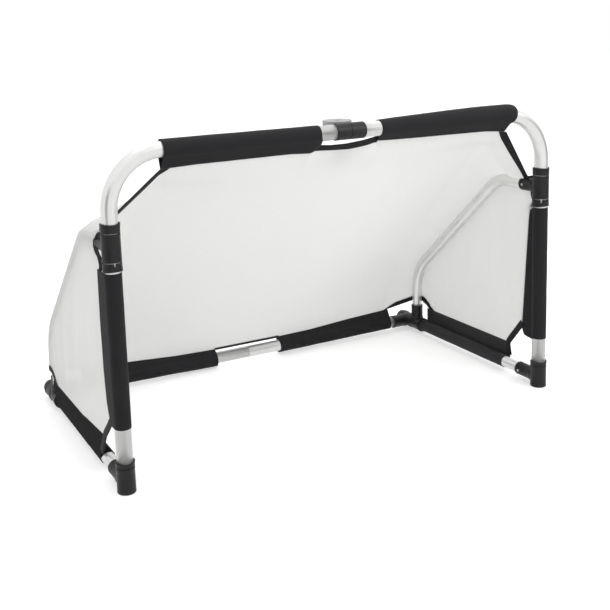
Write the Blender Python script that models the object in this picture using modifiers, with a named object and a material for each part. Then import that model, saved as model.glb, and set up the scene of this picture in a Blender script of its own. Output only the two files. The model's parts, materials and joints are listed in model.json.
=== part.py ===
"""Folding soccer goal: two front bows on a middle hinge, two swivelling side frames and a split rear bar.

Metres, +Z up. X runs across the goal mouth and +Y points to the back of the goal. The origin lies on the
ground in the middle of the goal's outline. Pieces come in a left (-X) and a right (+X) copy.
"""

from math import acos, atan2, cos, hypot, pi, radians, sin, tan

import bmesh
import bpy
from mathutils import Matrix, Vector

# Overall sizes
POST_SPACING = 1.55
CROSSBAR_HEIGHT = 0.985
REAR_BAR_DEPTH = 0.800
FLOOR_TUBE_HEIGHT = 0.036

# Tubes
FRONT_TUBE_RADIUS = 0.024
FRONT_TUBE_WALL = 0.0018
CORNER_RADIUS = 0.160
SIDE_TUBE_RADIUS = 0.020
SIDE_TUBE_WALL = 0.0015
SHOULDER_DEPTH = 0.219
SHOULDER_RADIUS = 0.140
HEEL_HEIGHT = 0.266
HEEL_RADIUS = 0.210
SEAM_GAP = 0.0005

# Clearances
BORE_FIT = 0.0006
PIN_FIT = 0.0005
FACE_GAP = 0.0004

# Black fittings on the posts
TEE_RADIUS = 0.0273
TEE_RIM_RADIUS = 0.0290
RIM_HEIGHT = 0.007
RIM_SLOPE = 0.0012
BRANCH_RADIUS = 0.0237
BRANCH_RIM_RADIUS = 0.0250
BRANCH_RIM_LENGTH = 0.006
BRANCH_WALL = 0.003
FOOT_HEIGHT = 0.070
FOOT_FLOOR = 0.006
FOOT_ROUNDING = 0.0035
FOOT_BRANCH_REACH = 0.118
UPPER_TEE_DROP = 0.299
UPPER_TEE_HEIGHT = 0.080
UPPER_BRANCH_RISE = 0.041
UPPER_BRANCH_REACH = 0.107
COLLAR_RADIUS = 0.0280
COLLAR_HEIGHT = 0.0285
COLLAR_WAVE = 0.0065
COLLAR_FLARE = 0.0013

# Rear corner fittings
REAR_RUN_RADIUS = 0.0275
REAR_RIM_RADIUS = 0.0292
CORNER_TEE_LENGTH = 0.0985
SWIVEL_TEE_LENGTH = 0.064
SWIVEL_GAP = 0.0015
LEG_SETBACK = 0.063
SOCKET_TOP = 0.115
REAR_BRANCH_REACH = 0.099
END_CAP_RADIUS = 0.0265
END_CAP_LENGTH = 0.0237
END_CAP_ROUNDING = 0.006
PLUG_LENGTH = 0.026
FERRULE_LENGTH = 0.050

# Middle hinge of the crossbar
HINGE_SLEEVE_RADIUS = 0.026
HINGE_SLEEVE_REACH = 0.052
HINGE_SEAM = 0.0004
STUB_LENGTH = 0.0235
PIVOT_DEPTH = 0.067
KNUCKLE_RADIUS = 0.045
KNUCKLE_DROP = 0.023
KNUCKLE_LOWER_HEIGHT = 0.0218
KNUCKLE_UPPER_HEIGHT = 0.0177
ARM_INNER = 0.001
ARM_OUTER = 0.043
SCOOP_GAP = 0.0013
COVER_RADIUS = 0.046
COVER_SKIRT = 0.0025
COVER_PLATE = 0.002
COVER_HEIGHT = 0.0085
BOLT_RADIUS = 0.006
BOLT_HEAD_RADIUS = 0.0100
BOLT_HEAD_HEIGHT = 0.0045
NUT_RADIUS = 0.0082
NUT_HEIGHT = 0.003
WELL_RADIUS = 0.0148
WELL_DEPTH = 0.008
BUTTON_RADIUS = 0.0112
BUTTON_FLANGE_RADIUS = 0.0140
BUTTON_FLANGE = 0.0037
BUTTON_RECESS = 0.0010
SPRING_RADIUS = 0.0105
SPRING_WIRE = 0.0005
SPRING_TURNS = 4

# Rivets through the tee branches
RIVET_RADIUS = 0.0021
RIVET_HEAD_RADIUS = 0.0042
RIVET_HEAD_HEIGHT = 0.0018
RIVET_INSET = 0.012

# Fabric sleeves
SLEEVE_CLOTH = 0.0012
SIDE_SLEEVE_SLACK = 0.0004
FLAP_THICKNESS = 0.0026
CROSSBAR_SLEEVE_START = 0.108
CROSSBAR_FLAP_DROP = 0.058
CROSSBAR_FLAP_SHIFT = 0.010
POST_SLEEVE_BOTTOM = 0.186
POST_SLEEVE_GAP = 0.003
POST_FLAP_CUT = 0.020
SIDE_SLEEVE_START = 0.174
SIDE_SLEEVE_GAP = 0.002
SIDE_FLAP_RISE = 0.071
REAR_SLEEVE_START = 0.138
REAR_SLEEVE_GAP = 0.006
REAR_FLAP_RISE = 0.054
REAR_FLAP_SHIFT = 0.006

# Net and tape
NET_THICKNESS = 0.0010
NET_TUBE_GAP = 0.0008
NET_FRONT_TOP = 0.1088
NET_FRONT_BOTTOM = 0.1205
NET_LEG_END = 0.1525
NET_FOLD = 0.004
NET_FOLD_LENGTH = 0.150
NET_HEEL_INSET = 0.030
NET_FLAT_WIDTH = 0.045
NET_CORNER_START = 0.600
NET_MIDDLE_DROP = 0.028
NET_ROWS = 6
NET_STATION_SHARES = (0.3, 0.6, 0.85)
TAPE_WIDTH = 0.009
TAPE_THICKNESS = 0.0014
LOWER_TAPE_LAP = 0.008
REAR_TAPE_LAP = 0.019
HINGE_TAPE_SAG = 0.005
HINGE_TAPE_RISE = 0.0155

# Fineness of round forms
ROUND = 20
SIDE_ROUND = 16
COLLAR_ROUND = 24
KNUCKLE_ROUND = 32
RIVET_ROUND = 10
BEND_STEPS = 7
SIDE_BEND_STEPS = 5
SPRING_STEPS = 8
SMOOTH_ANGLE = 35
MERGE_DISTANCE = 0.00001

# Places that follow from the sizes
POST_X = POST_SPACING / 2
FRONT_REACH = TEE_RIM_RADIUS
SWIVEL_END = REAR_BAR_DEPTH + SWIVEL_TEE_LENGTH / 2
REAR_REACH = SWIVEL_END + FACE_GAP + END_CAP_LENGTH
POST_Y = (FRONT_REACH - REAR_REACH) / 2
UPPER_TEE_BOTTOM = CROSSBAR_HEIGHT - UPPER_TEE_DROP
UPPER_TUBE_HEIGHT = UPPER_TEE_BOTTOM + UPPER_BRANCH_RISE
UPPER_TEE_TOP = UPPER_TEE_BOTTOM + UPPER_TEE_HEIGHT
FRONT_BORE = FRONT_TUBE_RADIUS + BORE_FIT
SIDE_BORE = SIDE_TUBE_RADIUS + BORE_FIT
BRANCH_STOP = FRONT_BORE + BRANCH_WALL
FLOOR_BRANCH_STOP = SIDE_BORE + BRANCH_WALL
LEG_DEPTH = REAR_BAR_DEPTH - LEG_SETBACK
SWIVEL_START = REAR_BAR_DEPTH - SWIVEL_TEE_LENGTH / 2
CORNER_TEE_START = SWIVEL_START - SWIVEL_GAP - CORNER_TEE_LENGTH
CROSSBAR_SLEEVE_END = POST_X - CORNER_RADIUS
POST_SLEEVE_TOP = UPPER_TEE_BOTTOM - FACE_GAP - COLLAR_HEIGHT - POST_SLEEVE_GAP
FRONT_SLEEVE_RADIUS = FRONT_BORE + SLEEVE_CLOTH
SIDE_SLEEVE_RADIUS = SIDE_BORE + SLEEVE_CLOTH + SIDE_SLEEVE_SLACK
SIDE_SLEEVE_END = CORNER_TEE_START - SIDE_SLEEVE_GAP
LOWER_TAPE_FOOT = SIDE_SLEEVE_START + LOWER_TAPE_LAP
REAR_TAPE_RISE = SIDE_SLEEVE_END - REAR_TAPE_LAP
REAR_SLEEVE_END = POST_X - REAR_BRANCH_REACH - REAR_SLEEVE_GAP
SIDE_FLAP_TOP = FLOOR_TUBE_HEIGHT + SIDE_FLAP_RISE
REAR_FLAP_TOP = FLOOR_TUBE_HEIGHT + REAR_FLAP_RISE
CROSSBAR_FLAP_BOTTOM = CROSSBAR_HEIGHT - CROSSBAR_FLAP_DROP
KNUCKLE_BOTTOM = CROSSBAR_HEIGHT - KNUCKLE_DROP
KNUCKLE_SPLIT = KNUCKLE_BOTTOM + KNUCKLE_LOWER_HEIGHT
KNUCKLE_TOP = KNUCKLE_SPLIT + KNUCKLE_UPPER_HEIGHT
COVER_TOP = KNUCKLE_TOP + COVER_HEIGHT
ROOF_OFFSET = SIDE_TUBE_RADIUS + NET_TUBE_GAP + NET_THICKNESS / 2
NET_X = POST_X + ROOF_OFFSET - NET_THICKNESS / 2 + FACE_GAP
HALF_TAPE = TAPE_THICKNESS / 2
TAPE_X = POST_X + SIDE_SLEEVE_RADIUS + FACE_GAP + TAPE_THICKNESS / 2

FINISHES = {
    "plastic": ((0.021, 0.021, 0.022), 0.42, 0.0),
    "fabric": ((0.027, 0.027, 0.029), 0.90, 0.0),
    "tape": ((0.019, 0.019, 0.020), 0.80, 0.0),
    "net": ((0.82, 0.82, 0.81), 0.85, 0.0),
    "aluminium": ((0.74, 0.74, 0.72), 0.30, 1.0),
    "disc": ((0.60, 0.60, 0.59), 0.38, 0.8),
    "steel": ((0.50, 0.50, 0.50), 0.30, 1.0),
}

for old in list(bpy.data.objects):
    bpy.data.objects.remove(old, do_unlink=True)

PARTS = bpy.data.collections.new("folding_soccer_goal")
CUTTERS = bpy.data.collections.new("cutters")
CUTTERS.hide_render = True
for collection in (PARTS, CUTTERS):
    bpy.context.scene.collection.children.link(collection)


def world(x, depth, height):
    """A point from its place across, its depth behind the posts and its height."""
    return Vector((x, POST_Y + depth, height))


def turned_axes(x_axis, y_axis):
    """A rotation whose local X and Y lie along the two given directions."""
    x_axis, y_axis = Vector(x_axis), Vector(y_axis)
    return Matrix((x_axis, y_axis, x_axis.cross(y_axis))).transposed().to_4x4()


UPRIGHT = Matrix.Identity(4)
BACKWARD = Matrix.Rotation(-pi / 2, 4, "X")


def sideways(side):
    """Local Z along +X or -X."""
    return Matrix.Rotation(side * pi / 2, 4, "Y")


def smooth(mesh):
    mesh.shade_smooth()
    mesh.set_sharp_from_angle(angle=radians(SMOOTH_ANGLE))


def stand(name, mesh, place, turn=UPRIGHT):
    obj = bpy.data.objects.new(name, mesh)
    obj.matrix_world = Matrix.Translation(place) @ turn
    return obj


def part(obj, finish, body):
    """Makes the object a piece of the goal, with its own material, on the pivot of its body."""
    colour, roughness, metallic = FINISHES[finish]
    material = bpy.data.materials.new(obj.name + "_" + finish)
    material.use_nodes = True
    shader = material.node_tree.nodes["Principled BSDF"]
    shader.inputs["Base Color"].default_value = (*colour, 1.0)
    shader.inputs["Roughness"].default_value = roughness
    shader.inputs["Metallic"].default_value = metallic
    obj.data.materials.clear()
    obj.data.materials.append(material)
    PARTS.objects.link(obj)
    if body is not None:
        obj.parent = body
        obj.matrix_parent_inverse = body.matrix_world.inverted()
    return obj


def helper(obj):
    """Makes the object a cutter or an addition, seen as wires and left out of renders."""
    CUTTERS.objects.link(obj)
    obj.hide_render = True
    obj.display_type = "WIRE"
    return obj


def combine(obj, other, operation):
    modifier = obj.modifiers.new(operation.lower() + "_" + other.name, "BOOLEAN")
    modifier.operation = operation
    modifier.solver = "EXACT"
    modifier.object = helper(other)


def cut(obj, other):
    combine(obj, other, "DIFFERENCE")


def add(obj, other):
    combine(obj, other, "UNION")


def baked(obj):
    """The evaluated mesh of an object, which is then removed."""
    PARTS.objects.link(obj)
    bpy.context.view_layer.update()
    graph = bpy.context.evaluated_depsgraph_get()
    mesh = bpy.data.meshes.new_from_object(obj.evaluated_get(graph))
    mesh.name = obj.name
    bpy.data.objects.remove(obj, do_unlink=True)
    return mesh


def welded(mesh):
    bm = bmesh.new()
    bm.from_mesh(mesh)
    bmesh.ops.remove_doubles(bm, verts=bm.verts, dist=MERGE_DISTANCE)
    bmesh.ops.recalc_face_normals(bm, faces=bm.faces)
    bm.to_mesh(mesh)
    bm.free()
    smooth(mesh)
    return mesh


def cylinder(name, radius, start, end, segments=ROUND):
    """A cylinder on the local Z axis from start to end."""
    bm = bmesh.new()
    middle = Matrix.Translation((0.0, 0.0, (start + end) / 2))
    bmesh.ops.create_cone(
        bm,
        cap_ends=True,
        segments=segments,
        radius1=radius,
        radius2=radius,
        depth=end - start,
        matrix=middle,
    )
    mesh = bpy.data.meshes.new(name)
    bm.to_mesh(mesh)
    bm.free()
    smooth(mesh)
    return mesh


def box(name, size):
    bm = bmesh.new()
    bmesh.ops.create_cube(bm, size=1.0, matrix=Matrix.Diagonal((*size, 1.0)))
    mesh = bpy.data.meshes.new(name)
    bm.to_mesh(mesh)
    bm.free()
    return mesh


def turned(name, profile, segments=ROUND, ring=False):
    """A body turned about local Z. The profile's (radius, height) points run down its outer side."""
    mesh = bpy.data.meshes.new(name)
    edges = [(i, i + 1) for i in range(len(profile) - 1)]
    if ring:
        edges.append((len(profile) - 1, 0))
    mesh.from_pydata([(radius, 0.0, height) for radius, height in profile], edges, [])
    obj = bpy.data.objects.new(name, mesh)
    screw = obj.modifiers.new("turn", "SCREW")
    screw.steps = segments
    screw.render_steps = segments
    screw.use_merge_vertices = True
    screw.merge_threshold = MERGE_DISTANCE
    return welded(baked(obj))


def rounded(corners, radii, steps):
    """The corner points of a path in a plane, with each inner corner turned into an arc."""
    path = [Vector(corners[0])]
    for index in range(1, len(corners) - 1):
        before, corner, after = (Vector(corners[index + k]) for k in (-1, 0, 1))
        radius = radii[index - 1]
        back = (before - corner).normalized()
        ahead = (after - corner).normalized()
        half = acos(max(-1.0, min(1.0, back.dot(ahead)))) / 2
        centre = corner + (back + ahead).normalized() * radius / sin(half)
        first = corner + back * radius / tan(half) - centre
        last = corner + ahead * radius / tan(half) - centre
        sweep = pi - 2 * half
        for step in range(steps + 1):
            angle = sweep * step / steps
            path.append(centre + (first * sin(sweep - angle) + last * sin(angle)) / sin(sweep))
    path.append(Vector(corners[-1]))
    return path


def pipe(name, points, radius, sides, wall=0.0):
    """A round bar through the points, or an open tube where a wall is given."""
    curve = bpy.data.curves.new(name, "CURVE")
    curve.dimensions = "3D"
    curve.bevel_depth = radius
    curve.bevel_resolution = (sides - 4) // 2
    curve.use_fill_caps = wall == 0.0
    spline = curve.splines.new("POLY")
    spline.points.add(len(points) - 1)
    for point, place in zip(spline.points, points):
        point.co = (*place, 1.0)
    mesh = welded(baked(bpy.data.objects.new(name, curve)))
    obj = bpy.data.objects.new(name, mesh)
    if wall > 0.0:
        shell = obj.modifiers.new("wall", "SOLIDIFY")
        shell.thickness = wall
        shell.offset = -1.0
        shell.use_even_offset = True
    return obj


def extruded(name, outlines, length):
    """A flat outline, with any holes after it, extruded along local Z about its middle."""
    curve = bpy.data.curves.new(name, "CURVE")
    curve.dimensions = "2D"
    curve.fill_mode = "BOTH"
    curve.extrude = length / 2
    for outline in outlines:
        spline = curve.splines.new("POLY")
        spline.points.add(len(outline) - 1)
        spline.use_cyclic_u = True
        for point, (x, y) in zip(spline.points, outline):
            point.co = (x, y, 0.0, 1.0)
    return welded(baked(bpy.data.objects.new(name, curve)))


def arc(radius, start, end, steps):
    return [
        (radius * cos(start + (end - start) * k / steps), radius * sin(start + (end - start) * k / steps))
        for k in range(steps + 1)
    ]


def circle(radius, segments=ROUND):
    return arc(radius, 0.0, 2 * pi * (segments - 1) / segments, segments - 1)


def teardrop(radius, shift, rise, thickness):
    """A wrap round a tube that narrows to a flap whose tip lies at (shift, rise)."""
    right = (shift + thickness / 2, rise)
    left = (shift - thickness / 2, rise)
    start = atan2(left[1], left[0]) + acos(radius / hypot(*left))
    end = atan2(right[1], right[0]) - acos(radius / hypot(*right)) + 2 * pi
    return [right, left, *arc(radius, start, end, ROUND - 4)]


def flap(radius, thickness, rise):
    """A wrap round a tube whose flap leaves it along the tangent at local +X."""
    inner = radius - thickness
    bend = acos(inner / radius)
    return [(radius, rise), (inner, rise), *arc(radius, bend, 2 * pi, ROUND - 2)]


def cloth(name, columns, rows, point, thickness):
    """A sheet of cloth from a grid whose crossing (column, row) lies at point(column, row)."""
    bm = bmesh.new()
    bmesh.ops.create_grid(bm, x_segments=columns, y_segments=rows, size=0.5)
    for vert in bm.verts:
        column = round((vert.co.x + 0.5) * columns)
        row = round((vert.co.y + 0.5) * rows)
        vert.co = point(column, row)
    mesh = bpy.data.meshes.new(name)
    bm.to_mesh(mesh)
    bm.free()
    smooth(mesh)
    obj = bpy.data.objects.new(name, mesh)
    shell = obj.modifiers.new("thickness", "SOLIDIFY")
    shell.thickness = thickness
    shell.offset = 0.0
    return obj


def tape(name, path, normals):
    """A flat tape along a path. Each point's normal says which way the face of the tape looks."""
    rails = []
    for index, place in enumerate(path):
        before = path[max(index - 1, 0)]
        after = path[min(index + 1, len(path) - 1)]
        across = Vector(normals[index]).cross(after - before).normalized() * TAPE_WIDTH / 2
        rails.append((place - across, place + across))
    return cloth(name, len(path) - 1, 1, lambda column, row: rails[column][row], TAPE_THICKNESS)


def mix(a, b, share):
    return a * (1.0 - share) + b * share


def along(path, share):
    """The point at a share of the length of a path."""
    lengths = [(b - a).length for a, b in zip(path, path[1:])]
    left = share * sum(lengths)
    for a, b, length in zip(path, path[1:], lengths):
        if left <= length:
            return mix(a, b, left / length)
        left -= length
    return path[-1].copy()


def pivot(name, place, parent=None):
    empty = bpy.data.objects.new(name, None)
    PARTS.objects.link(empty)
    empty.location = place
    if parent is not None:
        empty.parent = parent
        empty.matrix_parent_inverse = parent.matrix_world.inverted()
    bpy.context.view_layer.update()
    return empty


def rim_profile(length, radius, rim):
    """The outline of a tee's run: a plain barrel with a raised rim at each end."""
    return [
        (0.0, length),
        (rim, length),
        (rim, length - RIM_HEIGHT),
        (radius, length - RIM_HEIGHT - RIM_SLOPE),
        (radius, RIM_HEIGHT + RIM_SLOPE),
        (rim, RIM_HEIGHT),
        (rim, 0.0),
        (0.0, 0.0),
    ]


def foot_profile():
    """The foot's run, with its lower edge rounded off."""
    profile = rim_profile(FOOT_HEIGHT, TEE_RADIUS, TEE_RIM_RADIUS)
    inner = TEE_RIM_RADIUS - FOOT_ROUNDING
    bottom = [
        (inner + x, FOOT_ROUNDING + y) for x, y in arc(FOOT_ROUNDING, 0.0, -pi / 2, 3)
    ]
    return profile[:-2] + bottom + [(0.0, 0.0)]


def branch_profile(reach):
    """The outline of a tee's branch, from the axis of the run to its rimmed end."""
    return [
        (0.0, reach),
        (BRANCH_RIM_RADIUS, reach),
        (BRANCH_RIM_RADIUS, reach - BRANCH_RIM_LENGTH),
        (BRANCH_RADIUS, reach - BRANCH_RIM_LENGTH - RIM_SLOPE),
        (BRANCH_RADIUS, 0.0),
        (0.0, 0.0),
    ]


def add_branch(tee, root, turn, reach, stop):
    """Joins a branch to a tee at the point root, and bores it for a side tube down to its stop."""
    add(tee, stand(tee.name + "_branch", turned(tee.name + "_branch", branch_profile(reach)), root, turn))
    bore = cylinder(tee.name + "_branch_bore", SIDE_BORE, stop, reach + FOOT_FLOOR)
    cut(tee, stand(tee.name + "_branch_bore", bore, root, turn))


def bore_run(tee, place, turn, radius, start, end):
    bore = cylinder(tee.name + "_bore", radius, start, end)
    cut(tee, stand(tee.name + "_bore", bore, place, turn))


def collar(name, side, bottom, waves_up):
    """A collar on a post. One edge waves: high lobes at both sides with a low notch in front and behind."""
    inner = FRONT_BORE
    profile = [
        (COLLAR_RADIUS, COLLAR_HEIGHT - COLLAR_WAVE),
        (COLLAR_RADIUS, (COLLAR_HEIGHT - COLLAR_WAVE) / 2),
        (COLLAR_RADIUS, 0.0),
        (inner, 0.0),
        (inner, COLLAR_HEIGHT - COLLAR_WAVE),
    ]
    mesh = turned(name, profile, COLLAR_ROUND, ring=True)
    for vert in mesh.vertices:
        lobe = abs(vert.co.x) / hypot(vert.co.x, vert.co.y)
        if vert.co.z > profile[1][1] + RIM_SLOPE:
            vert.co.z += COLLAR_WAVE * lobe
            if hypot(vert.co.x, vert.co.y) > inner + RIM_SLOPE:
                vert.co.x *= 1.0 + COLLAR_FLARE / COLLAR_RADIUS * lobe
    if waves_up:
        return stand(name, mesh, world(side * POST_X, 0.0, bottom))
    return stand(name, mesh, world(side * POST_X, 0.0, bottom + COLLAR_HEIGHT), Matrix.Rotation(pi, 4, "X"))


def rivet(name, side, depth, height, through):
    """A dome-headed rivet on the inner side of a branch, with a hole for it in each piece of through."""
    root = world(side * POST_X, depth, height)
    skin = BRANCH_RADIUS + FACE_GAP
    tip = SIDE_TUBE_RADIUS - 2 * SIDE_TUBE_WALL
    dome = [
        (RIVET_HEAD_RADIUS * sin(angle), skin + RIVET_HEAD_HEIGHT * cos(angle))
        for angle in (0.0, pi / 6, pi / 3, pi / 2)
    ]
    profile = dome + [(RIVET_RADIUS, skin), (RIVET_RADIUS, tip), (0.0, tip)]
    ends = (tip - BRANCH_WALL, skin + BRANCH_WALL)
    for piece in through:
        hole = cylinder(name + "_hole", RIVET_RADIUS + PIN_FIT, *ends, RIVET_ROUND)
        cut(piece, stand(name + "_hole_" + piece.name, hole, root, sideways(-side)))
    return stand(name, turned(name, profile, RIVET_ROUND), root, sideways(-side))


def side_tube_path(offset, start, end):
    """The centre line of the bent side tube in (depth, height), or a line at an offset outside it."""
    corners = [
        (start, UPPER_TUBE_HEIGHT + offset),
        (SHOULDER_DEPTH, UPPER_TUBE_HEIGHT),
        (LEG_DEPTH, HEEL_HEIGHT),
        (LEG_DEPTH + offset, end),
    ]
    slope = atan2(UPPER_TUBE_HEIGHT - HEEL_HEIGHT, LEG_DEPTH - SHOULDER_DEPTH)
    corners[1] = (SHOULDER_DEPTH + offset * tan(slope / 2), UPPER_TUBE_HEIGHT + offset)
    corners[2] = (LEG_DEPTH + offset, HEEL_HEIGHT + offset * tan((pi / 2 - slope) / 2))
    return rounded(corners, (SHOULDER_RADIUS + offset, HEEL_RADIUS + offset), SIDE_BEND_STEPS)


def front_half(side, label, body):
    """One bow with its collars and its crossbar sleeve."""
    post = side * POST_X
    corners = [
        (post, FOOT_FLOOR + FACE_GAP),
        (post, CROSSBAR_HEIGHT),
        (side * (STUB_LENGTH + FACE_GAP), CROSSBAR_HEIGHT),
    ]
    path = [world(x, 0.0, z) for x, z in rounded(corners, (CORNER_RADIUS,), BEND_STEPS)]
    part(pipe("bow_tube_" + label, path, FRONT_TUBE_RADIUS, ROUND, FRONT_TUBE_WALL), "aluminium", body)

    part(collar("foot_collar_" + label, side, FOOT_HEIGHT + FACE_GAP, True), "plastic", body)
    lower = UPPER_TEE_BOTTOM - FACE_GAP - COLLAR_HEIGHT
    part(collar("post_collar_lower_" + label, side, lower, False), "plastic", body)
    part(collar("post_collar_upper_" + label, side, UPPER_TEE_TOP + FACE_GAP, True), "plastic", body)

    outline = teardrop(FRONT_SLEEVE_RADIUS, CROSSBAR_FLAP_SHIFT, CROSSBAR_FLAP_DROP, FLAP_THICKNESS)
    length = CROSSBAR_SLEEVE_END - CROSSBAR_SLEEVE_START
    middle = side * (CROSSBAR_SLEEVE_START + CROSSBAR_SLEEVE_END) / 2
    name = "crossbar_sleeve_" + label
    sleeve = extruded(name, (outline, circle(FRONT_BORE)), length)
    turn = turned_axes((0, 1, 0), (0, 0, -1))
    part(stand(name, sleeve, world(middle, 0.0, CROSSBAR_HEIGHT), turn), "fabric", body)


def hinge_half(side, label, body, bottom, top):
    """One half of the middle hinge: a sleeve on the tube end, an arm and a round knuckle."""
    name = "hinge_housing_" + label
    sleeve = cylinder(name, HINGE_SLEEVE_RADIUS, HINGE_SEAM, HINGE_SLEEVE_REACH)
    housing = stand(name, sleeve, world(0.0, 0.0, CROSSBAR_HEIGHT), sideways(side))
    centre = world(0.0, PIVOT_DEPTH, 0.0)
    arm = box(name + "_arm", (ARM_OUTER - ARM_INNER, PIVOT_DEPTH, top - bottom))
    arm_place = world(side * (ARM_INNER + ARM_OUTER) / 2, PIVOT_DEPTH / 2, (bottom + top) / 2)
    add(housing, stand(name + "_arm", arm, arm_place))
    knuckle = cylinder(name + "_knuckle", KNUCKLE_RADIUS, bottom, top, KNUCKLE_ROUND)
    add(housing, stand(name + "_knuckle", knuckle, centre))

    if side > 0:
        scoop_ends = (KNUCKLE_BOTTOM - FACE_GAP, KNUCKLE_SPLIT)
    else:
        scoop_ends = (KNUCKLE_SPLIT - FACE_GAP, CROSSBAR_HEIGHT + 2 * HINGE_SLEEVE_RADIUS)
    scoop = cylinder(name + "_scoop", KNUCKLE_RADIUS + SCOOP_GAP, *scoop_ends, KNUCKLE_ROUND)
    cut(housing, stand(name + "_scoop", scoop, centre))
    tube_bore = cylinder(name + "_bore", FRONT_BORE, STUB_LENGTH, 2 * HINGE_SLEEVE_REACH)
    cut(housing, stand(name + "_bore", tube_bore, world(0.0, 0.0, CROSSBAR_HEIGHT), sideways(side)))
    hole = cylinder(name + "_bolt_hole", BOLT_RADIUS + PIN_FIT, bottom - COVER_PLATE, top + COVER_PLATE)
    cut(housing, stand(name + "_bolt_hole", hole, centre))
    if side > 0:
        well = cylinder(name + "_well", WELL_RADIUS, top - WELL_DEPTH, top + COVER_PLATE)
        cut(housing, stand(name + "_well", well, centre))
    return part(housing, "plastic", body)


def hinge_hardware(left_body, right_body, button_body):
    """The bolt, the nut, the cover disc and the sprung button on the hinge's axis."""
    centre = world(0.0, PIVOT_DEPTH, 0.0)
    well_floor = KNUCKLE_TOP - WELL_DEPTH
    nut_bottom = well_floor + FACE_GAP
    head_top = KNUCKLE_BOTTOM - FACE_GAP
    nut_top = nut_bottom + NUT_HEIGHT
    shank = cylinder("hinge_bolt", BOLT_RADIUS, head_top - FACE_GAP, nut_top)
    bolt = stand("hinge_bolt", shank, centre)
    head = cylinder("bolt_head", BOLT_HEAD_RADIUS, head_top - BOLT_HEAD_HEIGHT, head_top, 6)
    add(bolt, stand("bolt_head", head, centre))
    part(bolt, "steel", left_body)
    nut = stand("hinge_nut", cylinder("hinge_nut", NUT_RADIUS, nut_bottom, nut_top, 6), centre)
    hole_ends = (nut_bottom - NUT_HEIGHT, nut_top + NUT_HEIGHT)
    nut_hole = cylinder("nut_hole", BOLT_RADIUS + PIN_FIT, *hole_ends)
    cut(nut, stand("nut_hole", nut_hole, centre))
    part(nut, "steel", left_body)

    plate_bottom = COVER_TOP - COVER_PLATE
    cover_hole = BUTTON_RADIUS + PIN_FIT
    inner = COVER_RADIUS - COVER_SKIRT
    cover = [
        (cover_hole, COVER_TOP),
        (COVER_RADIUS - RIM_SLOPE, COVER_TOP),
        (COVER_RADIUS, COVER_TOP - RIM_SLOPE),
        (COVER_RADIUS, KNUCKLE_TOP + FACE_GAP),
        (inner, KNUCKLE_TOP + FACE_GAP),
        (inner, plate_bottom),
        (cover_hole, plate_bottom),
    ]
    disc = turned("hinge_cover", cover, KNUCKLE_ROUND, ring=True)
    part(stand("hinge_cover", disc, centre), "disc", right_body)

    button_top = COVER_TOP - BUTTON_RECESS
    flange_top = plate_bottom - FACE_GAP
    flange_bottom = flange_top - BUTTON_FLANGE
    button = [
        (0.0, button_top - BUTTON_RECESS / 2),
        (BUTTON_RADIUS - RIM_SLOPE, button_top),
        (BUTTON_RADIUS, button_top - RIM_SLOPE / 2),
        (BUTTON_RADIUS, flange_top),
        (BUTTON_FLANGE_RADIUS, flange_top),
        (BUTTON_FLANGE_RADIUS, flange_bottom),
        (0.0, flange_bottom),
    ]
    part(stand("lock_button", turned("lock_button", button), centre), "plastic", button_body)

    first = well_floor + FACE_GAP + SPRING_WIRE
    last = flange_bottom - FACE_GAP - SPRING_WIRE
    count = SPRING_TURNS * SPRING_STEPS
    coil = [
        centre
        + Vector(
            (
                SPRING_RADIUS * cos(2 * pi * k / SPRING_STEPS),
                SPRING_RADIUS * sin(2 * pi * k / SPRING_STEPS),
                first + (last - first) * k / count,
            )
        )
        for k in range(count + 1)
    ]
    part(pipe("lock_spring", coil, SPRING_WIRE, 6), "steel", right_body)


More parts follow.
